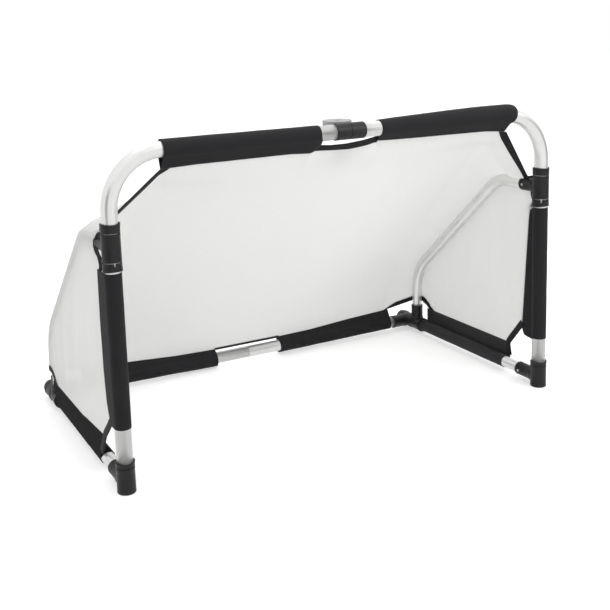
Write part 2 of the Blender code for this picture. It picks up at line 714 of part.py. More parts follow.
def side_frame(side, label, body):
    """The swivelling side frame: two tees on the post, two tubes, the rear corner and the end cap."""
    post = side * POST_X
    upper_root = world(post, 0.0, UPPER_TUBE_HEIGHT)
    name = "upper_tee_" + label
    run = turned(name, rim_profile(UPPER_TEE_HEIGHT, TEE_RADIUS, TEE_RIM_RADIUS))
    base = world(post, 0.0, UPPER_TEE_BOTTOM)
    upper = stand(name, run, base)
    add_branch(upper, upper_root, BACKWARD, UPPER_BRANCH_REACH, BRANCH_STOP)
    bore_run(upper, base, UPRIGHT, FRONT_BORE, -FOOT_FLOOR, 2 * UPPER_TEE_HEIGHT)

    name = "foot_tee_" + label
    foot = stand(name, turned(name, foot_profile()), world(post, 0.0, 0.0))
    add_branch(foot, world(post, 0.0, FLOOR_TUBE_HEIGHT), BACKWARD, FOOT_BRANCH_REACH, BRANCH_STOP)
    bore_run(foot, world(post, 0.0, 0.0), UPRIGHT, FRONT_BORE, FOOT_FLOOR, 2 * FOOT_HEIGHT)

    socket_floor = FLOOR_TUBE_HEIGHT + FLOOR_BRANCH_STOP
    name = "side_tube_upper_" + label
    path = side_tube_path(0.0, BRANCH_STOP + FACE_GAP, socket_floor + FACE_GAP)
    bent = [world(post, depth, height) for depth, height in path]
    upper_tube = pipe(name, bent, SIDE_TUBE_RADIUS, SIDE_ROUND, SIDE_TUBE_WALL)

    name = "side_tube_lower_" + label
    straight = [
        world(post, depth, FLOOR_TUBE_HEIGHT) for depth in (BRANCH_STOP + FACE_GAP, SWIVEL_END)
    ]
    lower_tube = pipe(name, straight, SIDE_TUBE_RADIUS, ROUND, SIDE_TUBE_WALL)

    depth = UPPER_BRANCH_REACH - RIVET_INSET
    through = (upper, upper_tube)
    upper_rivet = rivet("upper_tee_rivet_" + label, side, depth, UPPER_TUBE_HEIGHT, through)
    depth = FOOT_BRANCH_REACH - RIVET_INSET
    through = (foot, lower_tube)
    foot_rivet = rivet("foot_tee_rivet_" + label, side, depth, FLOOR_TUBE_HEIGHT, through)
    part(upper, "plastic", body)
    part(foot, "plastic", body)
    part(upper_tube, "aluminium", body)
    part(lower_tube, "aluminium", body)
    part(upper_rivet, "steel", body)
    part(foot_rivet, "steel", body)

    name = "rear_corner_tee_" + label
    run = turned(name, rim_profile(CORNER_TEE_LENGTH, REAR_RUN_RADIUS, REAR_RIM_RADIUS))
    start = world(post, CORNER_TEE_START, FLOOR_TUBE_HEIGHT)
    corner = stand(name, run, start, BACKWARD)
    root = world(post, LEG_DEPTH, FLOOR_TUBE_HEIGHT)
    add_branch(corner, root, UPRIGHT, SOCKET_TOP - FLOOR_TUBE_HEIGHT, FLOOR_BRANCH_STOP)
    bore_run(corner, start, BACKWARD, SIDE_BORE, -FOOT_FLOOR, 2 * CORNER_TEE_LENGTH)
    part(corner, "plastic", body)

    name = "rear_end_cap_" + label
    rim = END_CAP_RADIUS - END_CAP_ROUNDING
    dome = [
        (rim + END_CAP_ROUNDING * sin(angle), END_CAP_LENGTH - END_CAP_ROUNDING * (1.0 - cos(angle)))
        for angle in (0.0, pi / 6, pi / 3, pi / 2)
    ]
    plug = SIDE_TUBE_RADIUS - SIDE_TUBE_WALL - BORE_FIT
    profile = [
        (0.0, END_CAP_LENGTH),
        *dome,
        (END_CAP_RADIUS, 0.0),
        (plug, 0.0),
        (plug, -PLUG_LENGTH),
        (0.0, -PLUG_LENGTH),
    ]
    place = world(post, SWIVEL_END + FACE_GAP, FLOOR_TUBE_HEIGHT)
    cap = stand(name, turned(name, profile), place, BACKWARD)
    part(cap, "plastic", body)


def flap_edge(height):
    """How far behind the post the side net starts at a height."""
    top = UPPER_TUBE_HEIGHT + ROOF_OFFSET
    share = (top - height) / (top - POST_SLEEVE_BOTTOM)
    return mix(NET_FRONT_TOP, NET_FRONT_BOTTOM, share)


def side_sleeves(side, label, body):
    """The sleeves on the post and on the floor tube, each with a flap along the outside of the net."""
    post = side * POST_X
    name = "post_sleeve_" + label
    radius = max(NET_X + FLAP_THICKNESS / 2 - POST_X, FRONT_SLEEVE_RADIUS)
    length = POST_SLEEVE_TOP - POST_SLEEVE_BOTTOM
    rise = flap_edge(POST_SLEEVE_BOTTOM)
    outline = flap(radius, FLAP_THICKNESS, rise)
    mesh = extruded(name, (outline, circle(FRONT_BORE)), length)
    middle = world(post, 0.0, (POST_SLEEVE_TOP + POST_SLEEVE_BOTTOM) / 2)
    sleeve = stand(name, mesh, middle, turned_axes((side, 0, 0), (0, 1, 0)))
    lean = atan2(flap_edge(POST_SLEEVE_BOTTOM) - flap_edge(POST_SLEEVE_TOP), length)
    edge_middle = flap_edge((POST_SLEEVE_TOP + POST_SLEEVE_BOTTOM) / 2) - FACE_GAP
    trim = box(name + "_trim", (4 * radius, NET_FRONT_BOTTOM, 2 * length))
    shift = Matrix.Translation((0.0, NET_FRONT_BOTTOM / 2, 0.0))
    edge = Matrix.Rotation(lean, 4, "X") @ shift
    cut(sleeve, stand(name + "_trim", trim, world(post, edge_middle, middle.z), edge))
    corner = box(name + "_corner", (4 * radius, NET_FRONT_BOTTOM, 2 * POST_FLAP_CUT))
    corner_place = world(post, flap_edge(POST_SLEEVE_BOTTOM), POST_SLEEVE_BOTTOM)
    cut(sleeve, stand(name + "_corner", corner, corner_place, Matrix.Rotation(pi / 4, 4, "X")))
    part(sleeve, "fabric", body)

    name = "side_sleeve_" + label
    outline = flap(SIDE_SLEEVE_RADIUS, FLAP_THICKNESS, SIDE_FLAP_RISE)
    mesh = extruded(name, (outline, circle(SIDE_BORE)), SIDE_SLEEVE_END - SIDE_SLEEVE_START)
    middle = world(post, (SIDE_SLEEVE_START + SIDE_SLEEVE_END) / 2, FLOOR_TUBE_HEIGHT)
    part(stand(name, mesh, middle, turned_axes((side, 0, 0), (0, 0, 1))), "fabric", body)


def rear_half(side, label, body):
    """Half of the rear bar: a tee that turns on the floor tube, the tube and its fabric sleeve."""
    name = "rear_bar_tee_" + label
    run = turned(name, rim_profile(SWIVEL_TEE_LENGTH, REAR_RUN_RADIUS, REAR_RIM_RADIUS))
    start = world(side * POST_X, SWIVEL_START, FLOOR_TUBE_HEIGHT)
    tee = stand(name, run, start, BACKWARD)
    root = world(side * POST_X, REAR_BAR_DEPTH, FLOOR_TUBE_HEIGHT)
    add_branch(tee, root, sideways(-side), REAR_BRANCH_REACH, FLOOR_BRANCH_STOP)
    bore_run(tee, start, BACKWARD, SIDE_BORE, -FOOT_FLOOR, 2 * SWIVEL_TEE_LENGTH)
    part(tee, "plastic", body)

    ends = (POST_X - FLOOR_BRANCH_STOP - FACE_GAP, SEAM_GAP / 2)
    path = [world(side * x, REAR_BAR_DEPTH, FLOOR_TUBE_HEIGHT) for x in ends]
    part(pipe("rear_tube_" + label, path, SIDE_TUBE_RADIUS, ROUND, SIDE_TUBE_WALL), "aluminium", body)

    name = "rear_sleeve_" + label
    outline = teardrop(SIDE_SLEEVE_RADIUS, REAR_FLAP_SHIFT, REAR_FLAP_RISE, FLAP_THICKNESS)
    mesh = extruded(name, (outline, circle(SIDE_BORE)), REAR_SLEEVE_END - REAR_SLEEVE_START)
    middle = side * (REAR_SLEEVE_START + REAR_SLEEVE_END) / 2
    turn = turned_axes((0, 1, 0), (0, 0, 1))
    part(stand(name, mesh, world(middle, REAR_BAR_DEPTH, FLOOR_TUBE_HEIGHT), turn), "fabric", body)


def roof_line():
    """Where the side and back panels meet, as points (depth, height) just outside the bent tube."""
    line = side_tube_path(ROOF_OFFSET, NET_FRONT_TOP, NET_LEG_END)
    split = []
    longest = NET_FOLD_LENGTH / 2
    for a, b in zip(line, line[1:]):
        pieces = max(1, round((b - a).length / longest))
        split.extend(mix(a, b, k / pieces) for k in range(pieces))
    split.append(line[-1])
    return split


def shares_of(path):
    """The share of the whole length at which each point of a path lies."""
    total, lengths = 0.0, [0.0]
    for a, b in zip(path, path[1:]):
        total += (b - a).length
        lengths.append(total)
    return [length / total for length in lengths]


def side_net(side, label, body):
    """The side panel, outside the tubes, hanging from the bent tube in soft upright folds."""
    top = roof_line()
    shares = shares_of(top)
    flap_line = SIDE_FLAP_TOP + FACE_GAP
    bottom = [
        Vector((flap_edge(POST_SLEEVE_BOTTOM), POST_SLEEVE_BOTTOM)),
        Vector((LOWER_TAPE_FOOT, flap_line)),
        Vector((REAR_TAPE_RISE, flap_line)),
        Vector((LEG_DEPTH - NET_HEEL_INSET, NET_LEG_END - RIM_SLOPE)),
    ]
    under = NET_THICKNESS / 2 + FACE_GAP

    def point(column, row):
        share = row / NET_ROWS
        upper = top[column].copy()
        before, after = top[max(column - 1, 0)], top[min(column + 1, len(top) - 1)]
        slope = (after - before).normalized()
        upper += Vector((slope.y, -slope.x)) * under
        lower = along(bottom, shares[column])
        place = mix(upper, lower, share)
        swell = sin(pi * shares[column]) * sin(pi * share)
        fold = NET_FOLD * swell * (1.0 + cos(2 * pi * place.x / NET_FOLD_LENGTH)) / 2
        return world(side * (NET_X + fold), place.x, place.y)

    net = cloth("net_side_" + label, len(top) - 1, NET_ROWS, point, NET_THICKNESS)
    part(net, "net", body)


def back_net(side, label, body):
    """Half of the back panel, from the crossbar sleeve over the side tubes down to the rear bar sleeve."""
    line = roof_line()
    shares = shares_of(line)
    edge = NET_X + NET_THICKNESS / 2
    flat = edge - NET_FLAT_WIDTH
    top_height = CROSSBAR_FLAP_BOTTOM - NET_THICKNESS / 2 - FACE_GAP
    low_height = REAR_FLAP_TOP + NET_THICKNESS / 2 + FACE_GAP
    low_depth = REAR_BAR_DEPTH + REAR_FLAP_SHIFT
    stations = [
        SEAM_GAP / 2,
        REAR_SLEEVE_START / 2,
        CROSSBAR_SLEEVE_START - RIM_SLOPE,
        REAR_SLEEVE_START - RIM_SLOPE,
        *[mix(REAR_SLEEVE_START, NET_CORNER_START, share) for share in NET_STATION_SHARES],
        NET_CORNER_START,
        (NET_CORNER_START + flat) / 2,
        flat,
        (flat + edge) / 2,
        edge,
    ]

    def head(x):
        share = min(max((x - NET_CORNER_START) / (flat - NET_CORNER_START), 0.0), 1.0)
        rise = 0.0
        if x < CROSSBAR_SLEEVE_START - TAPE_WIDTH:
            rise = HINGE_TAPE_RISE - TAPE_WIDTH / 2 - HINGE_TAPE_SAG
        return mix(Vector((CROSSBAR_FLAP_SHIFT, top_height + rise)), line[0], share)

    def foot(x):
        share = min(max((x - NET_CORNER_START) / (flat - NET_CORNER_START), 0.0), 1.0)
        sag = NET_MIDDLE_DROP if x < REAR_SLEEVE_START - 2 * RIM_SLOPE else 0.0
        return mix(Vector((low_depth, low_height - sag)), line[-1], share)

    def point(column, row):
        x = stations[column]
        share = shares[row]
        lift = min(x / flat, 1.0) ** 2
        straight = mix(line[0], line[-1], share)
        place = mix(head(x), foot(x), share) + (line[row] - straight) * lift
        return world(side * x, place.x, place.y)

    net = cloth("net_back_" + label, len(stations) - 1, len(line) - 1, point, NET_THICKNESS)
    part(net, "net", body)


def side_tapes(side, label, side_body, front_body):
    """The black tapes on the corners of the net."""
    out = (side, 0.0, 0.0)
    lower = [
        world(side * TAPE_X, flap_edge(POST_SLEEVE_BOTTOM), POST_SLEEVE_BOTTOM),
        world(side * TAPE_X, LOWER_TAPE_FOOT, SIDE_FLAP_TOP),
        world(side * TAPE_X, LOWER_TAPE_FOOT + TAPE_WIDTH, FLOOR_TUBE_HEIGHT),
    ]
    part(tape("lower_hem_" + label, lower, (out, out, out)), "tape", side_body)

    back_depth = LEG_DEPTH + ROOF_OFFSET + NET_THICKNESS / 2 + FACE_GAP + HALF_TAPE
    low_depth = REAR_BAR_DEPTH + REAR_FLAP_SHIFT + NET_THICKNESS / 2 + FACE_GAP + HALF_TAPE
    leg_height = NET_LEG_END + TAPE_WIDTH / 2
    rear = [
        world(side * TAPE_X, REAR_TAPE_RISE, SIDE_FLAP_TOP + TAPE_WIDTH / 2),
        world(side * TAPE_X, LEG_DEPTH - NET_HEEL_INSET, leg_height),
        world(side * TAPE_X, back_depth, leg_height),
        world(side * (TAPE_X - NET_FLAT_WIDTH), back_depth + HALF_TAPE, leg_height),
        world(side * NET_CORNER_START, low_depth + 2 * HALF_TAPE, REAR_FLAP_TOP + TAPE_WIDTH),
    ]
    behind = (0.0, 1.0, 0.0)
    part(tape("rear_hem_" + label, rear, (out, out, (side, 1.0, 0.0), behind, behind)), "tape", side_body)

    roof = UPPER_TUBE_HEIGHT + BRANCH_RIM_RADIUS + FACE_GAP + HALF_TAPE
    depth = UPPER_BRANCH_REACH - BRANCH_RIM_LENGTH
    outer = BRANCH_RIM_RADIUS + FACE_GAP + HALF_TAPE
    start = CROSSBAR_SLEEVE_END + TAPE_WIDTH
    upper = [
        world(side * start, CROSSBAR_FLAP_SHIFT, CROSSBAR_FLAP_BOTTOM + TAPE_WIDTH),
        world(side * (POST_X - BRANCH_RIM_RADIUS), depth - TAPE_WIDTH, roof + TAPE_WIDTH),
        world(side * (POST_X + SIDE_TUBE_RADIUS / 2), depth, roof),
        world(side * (POST_X + outer), depth, UPPER_TUBE_HEIGHT + SIDE_TUBE_RADIUS / 2),
        world(side * (POST_X + outer), depth, UPPER_TUBE_HEIGHT - SIDE_TUBE_RADIUS),
    ]
    slanted = (0.0, 1.0, 1.0)
    faces = (slanted, slanted, (side, 0.0, 2.0), (side, 0.0, 0.3), out)
    part(tape("upper_hem_" + label, upper, faces), "tape", front_body)


def middle_tapes(body):
    """The tape that sags under the hinge, and the thin edge of the net between the rear sleeves."""
    reach = CROSSBAR_SLEEVE_START - FACE_GAP
    top = CROSSBAR_FLAP_BOTTOM + HINGE_TAPE_RISE
    sagging = []
    for step in range(-3, 4):
        share = step / 3
        height = top + HINGE_TAPE_SAG * (share * share - 1.0)
        sagging.append(world(reach * share, CROSSBAR_FLAP_SHIFT, height))
    part(tape("hinge_hem", sagging, [(0.0, 1.0, 0.0)] * len(sagging)), "tape", body)

    reach = REAR_SLEEVE_START - 3 * RIM_SLOPE
    height = REAR_FLAP_TOP - NET_MIDDLE_DROP
    depth = REAR_BAR_DEPTH + REAR_FLAP_SHIFT + NET_THICKNESS / 2 + FACE_GAP + HALF_TAPE
    edge = [world(x, depth, height + TAPE_WIDTH / 2) for x in (-reach, 0.0, reach)]
    part(tape("rear_gap_hem", edge, [(0.0, 1.0, 0.0)] * len(edge)), "tape", body)


def build():
    middle = world(0.0, PIVOT_DEPTH, 0.0)
    left_front = None
    right_front = pivot("crossbar_fold_pivot", middle)
    left_side = pivot("side_left_swivel_pivot", world(-POST_X, 0.0, 0.0))
    right_side = pivot("side_right_swivel_pivot", world(POST_X, 0.0, 0.0), right_front)
    left_end = world(-POST_X, REAR_BAR_DEPTH, FLOOR_TUBE_HEIGHT)
    right_end = world(POST_X, REAR_BAR_DEPTH, FLOOR_TUBE_HEIGHT)
    left_rear = pivot("rear_left_flip_pivot", left_end, left_side)
    right_rear = pivot("rear_right_flip_pivot", right_end, right_side)
    button = pivot("lock_button_pivot", world(0.0, PIVOT_DEPTH, COVER_TOP), right_front)

    hinge_half(-1, "left", left_front, KNUCKLE_BOTTOM, KNUCKLE_SPLIT - FACE_GAP)
    hinge_half(1, "right", right_front, KNUCKLE_SPLIT, KNUCKLE_TOP)
    hinge_hardware(left_front, right_front, button)
    for side, label, front, frame, rear in (
        (-1, "left", left_front, left_side, left_rear),
        (1, "right", right_front, right_side, right_rear),
    ):
        front_half(side, label, front)
        side_frame(side, label, frame)
        side_sleeves(side, label, frame)
        rear_half(side, label, rear)
        side_net(side, label, frame)
        back_net(side, label, front)
        side_tapes(side, label, frame, front)
    middle_tapes(left_front)

    radius = SIDE_TUBE_RADIUS - SIDE_TUBE_WALL - BORE_FIT
    ferrule = cylinder("rear_ferrule", radius, SEAM_GAP, FERRULE_LENGTH)
    place = world(0.0, REAR_BAR_DEPTH, FLOOR_TUBE_HEIGHT)
    part(stand("rear_ferrule", ferrule, place, sideways(-1)), "plastic", left_rear)


build()
bpy.context.view_layer.update()
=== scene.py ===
"""The looks of the folding soccer goal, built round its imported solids.

Metres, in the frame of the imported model: X runs across the goal mouth, +Y to the back and +Z up.
Depth is measured
back from the plane of the two posts.
"""

import json
import logging
from bisect import bisect_left
from dataclasses import dataclass, field, replace
from enum import Enum
from math import acos, atan2, cos, hypot, pi, radians, sin, tan
from typing import Callable, Dict, List, Optional, Sequence, Tuple, Union

import bmesh
import bpy
from mathutils import Matrix, Vector, noise

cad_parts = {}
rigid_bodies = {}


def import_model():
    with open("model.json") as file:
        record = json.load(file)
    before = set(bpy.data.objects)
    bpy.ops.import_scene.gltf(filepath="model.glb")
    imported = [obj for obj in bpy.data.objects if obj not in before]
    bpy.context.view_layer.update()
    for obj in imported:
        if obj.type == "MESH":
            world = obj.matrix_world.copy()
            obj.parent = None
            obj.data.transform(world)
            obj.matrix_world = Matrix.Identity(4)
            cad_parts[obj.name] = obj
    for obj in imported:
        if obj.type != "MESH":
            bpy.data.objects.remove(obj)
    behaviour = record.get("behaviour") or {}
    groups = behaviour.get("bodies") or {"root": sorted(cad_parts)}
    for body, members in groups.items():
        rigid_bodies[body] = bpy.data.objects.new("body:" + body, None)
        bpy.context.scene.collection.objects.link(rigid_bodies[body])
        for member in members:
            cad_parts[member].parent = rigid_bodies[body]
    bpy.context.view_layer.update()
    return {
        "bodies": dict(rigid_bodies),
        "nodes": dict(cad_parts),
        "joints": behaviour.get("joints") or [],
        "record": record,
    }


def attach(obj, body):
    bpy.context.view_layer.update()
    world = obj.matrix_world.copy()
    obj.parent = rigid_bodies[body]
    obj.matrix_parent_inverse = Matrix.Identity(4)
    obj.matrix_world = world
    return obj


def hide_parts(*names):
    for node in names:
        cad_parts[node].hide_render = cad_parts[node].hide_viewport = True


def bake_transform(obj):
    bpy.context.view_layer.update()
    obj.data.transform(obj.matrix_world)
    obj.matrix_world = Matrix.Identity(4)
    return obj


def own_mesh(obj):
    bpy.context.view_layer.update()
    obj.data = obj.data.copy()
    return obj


LOG = logging.getLogger("folding_goal")

Profile = Sequence[Tuple[float, float]]
Table = Sequence[Tuple[float, float]]
Colour = Tuple[float, float, float]


class Side(Enum):
    """The two copies of most pieces, as seen from in front of the goal mouth."""

    LEFT = -1
    RIGHT = 1

    @property
    def sign(self) -> int:
        """-1 for the left copy and 1 for the right one."""
        return self.value

    def named(self, stem: str) -> str:
        """The stem with this side's label behind it."""
        return f"{stem}_{self.name.lower()}"


class Slot(Enum):
    """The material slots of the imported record."""

    TUBE = "aluminium_tube"
    PLASTIC = "black_plastic"
    DISC = "hinge_disc"
    STEEL = "steel_hardware"
    FABRIC = "black_fabric"
    TAPE = "black_tape"
    NET = "white_net"


@dataclass(frozen=True)
class Measures:
    """The sizes that several sub-assemblies share."""

    post_y: float = -0.41355
    post_x: float = 0.775
    bar_height: float = 0.985
    rear_depth: float = 0.800
    floor_height: float = 0.036
    front_radius: float = 0.024
    front_bore: float = 0.0246
    corner_radius: float = 0.160
    side_radius: float = 0.020
    side_bore: float = 0.0206
    upper_height: float = 0.727
    shoulder_depth: float = 0.219
    shoulder_radius: float = 0.140
    heel_height: float = 0.266
    heel_radius: float = 0.210
    leg_depth: float = 0.737
    tee_bottom: float = 0.686
    tee_top: float = 0.766
    upper_reach: float = 0.087
    foot_height: float = 0.079
    foot_reach: float = 0.098
    swivel_start: float = 0.768
    swivel_end: float = 0.832
    corner_start: float = 0.694
    corner_end: float = 0.7665
    crossbar_sleeve_start: float = 0.108
    crossbar_flap_shift: float = 0.010
    post_sleeve_top: float = 0.6541
    side_sleeve_start: float = 0.174
    side_sleeve_end: float = 0.692
    rear_sleeve_start: float = 0.138
    rear_sleeve_end: float = 0.670
    rear_flap_shift: float = 0.006
    roof_offset: float = 0.0213
    net_leg_end: float = 0.1325
    rear_radius: float = 0.0222
    net_x: float = 0.7962
    net_thickness: float = 0.0010
    pivot_depth: float = 0.067

    def spot(self, x: float, depth: float, height: float) -> Vector:
        """A point from its place across, its depth behind the posts and its height."""
        return Vector((x, self.post_y + depth, height))


M = Measures()
UPRIGHT = Matrix.Identity(4)
BACKWARD = Matrix.Rotation(-pi / 2, 4, "X")


def sideways(sign: int) -> Matrix:
    """Local Z along +X or -X."""
    return Matrix.Rotation(sign * pi / 2, 4, "Y")


def mix(a: Union[float, Vector], b: Union[float, Vector], share: float) -> Union[float, Vector]:
    """The value at a share of the way from a to b."""
    return a * (1.0 - share) + b * share


def ease(value: float, low: float, high: float) -> float:
    """0 below low, 1 above high and a smooth rise between them."""
    share = min(max((value - low) / (high - low), 0.0), 1.0)
    return share * share * (3.0 - 2.0 * share)


def lookup(table: Table, value: float) -> float:
    """Reads a table of points.

    Args:
        table: points (key, value) in the order of their keys.
        value: the key wanted.

    Returns:
        The value there, straight between the points and level beyond the ends.
    """
    for (low, first), (high, second) in zip(table, table[1:]):
        if value <= high:
            return mix(first, second, max(0.0, value - low) / (high - low))
    return table[-1][1]


def arc(radius: float, start: float, end: float, steps: int) -> List[Tuple[float, float]]:
    """Points on an arc about the origin.

    Args:
        radius: radius of the arc.
        start: first angle in radians.
        end: last angle in radians.
        steps: number of equal steps between them.

    Returns:
        The points, first and last included.
    """
    angles = [start + (end - start) * k / steps for k in range(steps + 1)]
    return [(radius * cos(angle), radius * sin(angle)) for angle in angles]


def spread(points: Sequence[Vector], step: float) -> List[Vector]:
    """Splits the long stretches of a path.

    Args:
        points: the path.
        step: the longest stretch wanted.

    Returns:
        The path with points added on its straight stretches.
    """
    path: List[Vector] = []
    for a, b in zip(points, points[1:]):
        pieces = max(1, round((b - a).length / step))
        path.extend(mix(a, b, k / pieces) for k in range(pieces))
    path.append(points[-1].copy())
    return path


def rounded(corners: Sequence[Vector], radii: Sequence[float], steps: int) -> List[Vector]:
    """Turns each inner corner of a path into an arc.

    Args:
        corners: the corner points.
        radii: a bend radius for each inner corner.
        steps: steps in each bend.

    Returns:
        The points of the rounded path.
    """
    path = [corners[0].copy()]
    for before, corner, after, radius in zip(corners, corners[1:], corners[2:], radii):
        back = (before - corner).normalized()
        ahead = (after - corner).normalized()
        half = acos(max(-1.0, min(1.0, back.dot(ahead)))) / 2
        centre = corner + (back + ahead).normalized() * radius / sin(half)
        first = corner + back * radius / tan(half) - centre
        last = corner + ahead * radius / tan(half) - centre
        sweep = pi - 2 * half
        for step in range(steps + 1):
            angle = sweep * step / steps
            path.append(centre + (first * sin(sweep - angle) + last * sin(angle)) / sin(sweep))
    path.append(corners[-1].copy())
    return path


def lengths_of(path: Sequence[Vector]) -> List[float]:
    """The distance from the start of a path to each of its points."""
    total, lengths = 0.0, [0.0]
    for a, b in zip(path, path[1:]):
        total += (b - a).length
        lengths.append(total)
    return lengths


class Line:
    """A path whose points are found by their share of its length."""

    def __init__(self, path: Sequence[Vector]) -> None:
        """Keeps the path and its lengths.

        Args:
            path: the points of the path.
        """
        self.path = list(path)
        self.lengths = lengths_of(path)

    def at(self, share: float) -> Vector:
        """The point at a share of the path's length."""
        left = min(max(share, 0.0), 1.0) * self.lengths[-1]
        index = min(max(bisect_left(self.lengths, left), 1), len(self.path) - 1)
        low, high = self.lengths[index - 1], self.lengths[index]
        return mix(self.path[index - 1], self.path[index], (left - low) / max(high - low, 1e-9))


def stations(path: Sequence[Vector], facing: Sequence[Vector]) -> List[Matrix]:
    """A frame at each point of a path, with local Z along it.

    Args:
        path: the points of the path.
        facing: the way local Y looks at each point, or one direction for all.

    Returns:
        A matrix for each point.
    """
    frames = []
    for index, place in enumerate(path):
        before = path[max(index - 1, 0)]
        after = path[min(index + 1, len(path) - 1)]
        forward = (after - before).normalized()
        look = facing[min(index, len(facing) - 1)]
        across = look.cross(forward).normalized()
        up = forward.cross(across)
        turn = Matrix((across, up, forward)).transposed().to_4x4()
        frames.append(Matrix.Translation(place) @ turn)
    return frames


@dataclass(frozen=True)
class Drape:
    """How the cloth of one side lies: lengths across and heights are measured from the middle and
    the ground."""

    bar_end: float
    bar_flap: Table
    bar_swell: Table
    bar_lift: Table
    bar_lean: float
    band: Table
    band_end: float
    curl: float
    corner: Tuple[float, float]
    hinge_line: Table
    hinge_fall: Table
    post_flap: Table
    post_slant: float
    net_front: Table
    net_foot: Table
    floor_flap: Table
    floor_slant: float
    rear_flap: Table
    rear_drop: Table
    rear_swell: Table


DRAPES = {
    Side.LEFT: Drape(
        bar_end=0.615,
        bar_flap=(
            (0.108, 0.9440), (0.118, 0.9359), (0.136, 0.9275), (0.200, 0.9310), (0.500, 0.9310),
            (0.615, 0.9275)
        ),
        bar_swell=((0.108, 0.0256), (0.615, 0.0285)),
        bar_lift=((0.108, 0.0), (0.615, 0.0)),
        bar_lean=0.011,
        band=((0.615, 0.0280), (0.700, 0.0340), (0.797, 0.0320)),
        band_end=0.7975,
        curl=0.006,
        corner=(0.030, 0.773),
        hinge_line=(
            (0.0, 0.9448), (0.025, 0.9445), (0.061, 0.9449), (0.096, 0.9478), (0.118, 0.9500)
        ),
        hinge_fall=(
            (0.0, 0.9289), (0.026, 0.9296), (0.0615, 0.9314), (0.0967, 0.9343), (0.118, 0.9355)
        ),
        post_flap=(
            (0.197, 0.026), (0.223, 0.044), (0.262, 0.058), (0.3525, 0.0677), (0.508, 0.0695),
            (0.6541, 0.0643)
        ),
        post_slant=0.0,
        net_front=((0.201, 0.0307), (0.223, 0.045), (0.262, 0.0585), (0.3525, 0.068), (
            0.508, 0.070
        ), (0.620, 0.0655),
                   (0.645, 0.0460), (0.672, 0.0380), (0.7048, 0.0590), (0.722, 0.0740),
                   (0.742, 0.0700), (0.762, 0.0380),
                   (0.773, 0.0300)),
        net_foot=((0.0307, 0.2010), (0.0659, 0.1662), (0.1017, 0.1340), (0.116, 0.1341), (
            0.345, 0.1142
        ),
                  (0.600, 0.1112), (0.660, 0.1100), (0.6800, 0.1105), (0.7065, 0.1256),
                  (0.7171, 0.1315)),
        floor_flap=((0.174, 0.0975), (0.345, 0.0776), (0.600, 0.0746), (0.692, 0.0730)),
        floor_slant=0.60,
        rear_flap=(
            (0.138, 0.0690), (0.190, 0.0700), (0.300, 0.0735), (0.483, 0.0860), (0.670, 0.0935)
        ),
        rear_drop=((0.138, 0.0045), (0.300, 0.0026), (0.670, 0.0006)),
        rear_swell=((0.138, 0.0280), (0.300, 0.0260), (0.670, 0.0238)),
    ),
    Side.RIGHT: Drape(
        bar_end=0.645,
        bar_flap=((0.108, 0.9450), (0.140, 0.9439), (0.200, 0.9421), (0.354, 0.9405), (
            0.538, 0.9381
        ), (0.593, 0.9335),
                  (0.6275, 0.9300), (0.645, 0.9620)),
        bar_swell=((0.108, 0.0262), (0.153, 0.0272), (0.268, 0.0290), (0.386, 0.0312), (
            0.508, 0.0325
        ), (0.615, 0.0318),
                   (0.638, 0.0312), (0.645, 0.0275)),
        bar_lift=(
            (0.108, 0.0), (0.268, 0.0030), (0.508, 0.0060), (0.620, 0.0060), (0.645, 0.0050)
        ),
        bar_lean=0.0,
        band=((0.628, 0.0320), (0.660, 0.0280), (0.700, 0.0260), (0.760, 0.0190), (0.797, 0.0180)),
        band_end=0.767,
        curl=0.0,
        corner=(0.057, 0.7550),
        hinge_line=(
            (0.0, 0.9448), (0.0107, 0.9459), (0.0472, 0.9489), (0.0656, 0.9511), (0.0841, 0.9540),
            (0.118, 0.9600)
        ),
        hinge_fall=(
            (0.0, 0.9289), (0.0103, 0.9288), (0.0468, 0.9323), (0.0838, 0.9378), (0.1062, 0.9436),
            (0.118, 0.9445)
        ),
        post_flap=((0.180, 0.0640), (0.199, 0.1000), (0.2215, 0.1124), (0.246, 0.1135), (
            0.293, 0.1055
        ), (0.441, 0.0945),
                   (0.620, 0.0818), (0.6541, 0.0800)),
        post_slant=0.43,
        net_front=((0.180, 0.1100), (0.203, 0.1095), (0.441, 0.0930), (0.600, 0.0810), (
            0.630, 0.0760
        ), (0.650, 0.0480),
                   (0.672, 0.0440), (0.700, 0.0560), (0.735, 0.0610), (0.755, 0.0570)),
        net_foot=((0.1100, 0.1850), (0.1516, 0.1333), (0.1760, 0.1040), (0.200, 0.1079), (
            0.647, 0.1079
        ), (0.6786, 0.1085),
                  (0.7065, 0.1256), (0.7171, 0.1315)),
        floor_flap=((0.174, 0.071), (0.692, 0.071)),
        floor_slant=0.0,
        rear_flap=((0.138, 0.0700), (0.290, 0.0735), (0.483, 0.0860), (0.670, 0.0940)),
        rear_drop=((0.138, 0.0025), (0.670, 0.0006)),
        rear_swell=((0.138, 0.0258), (0.670, 0.0238)),
    ),
}


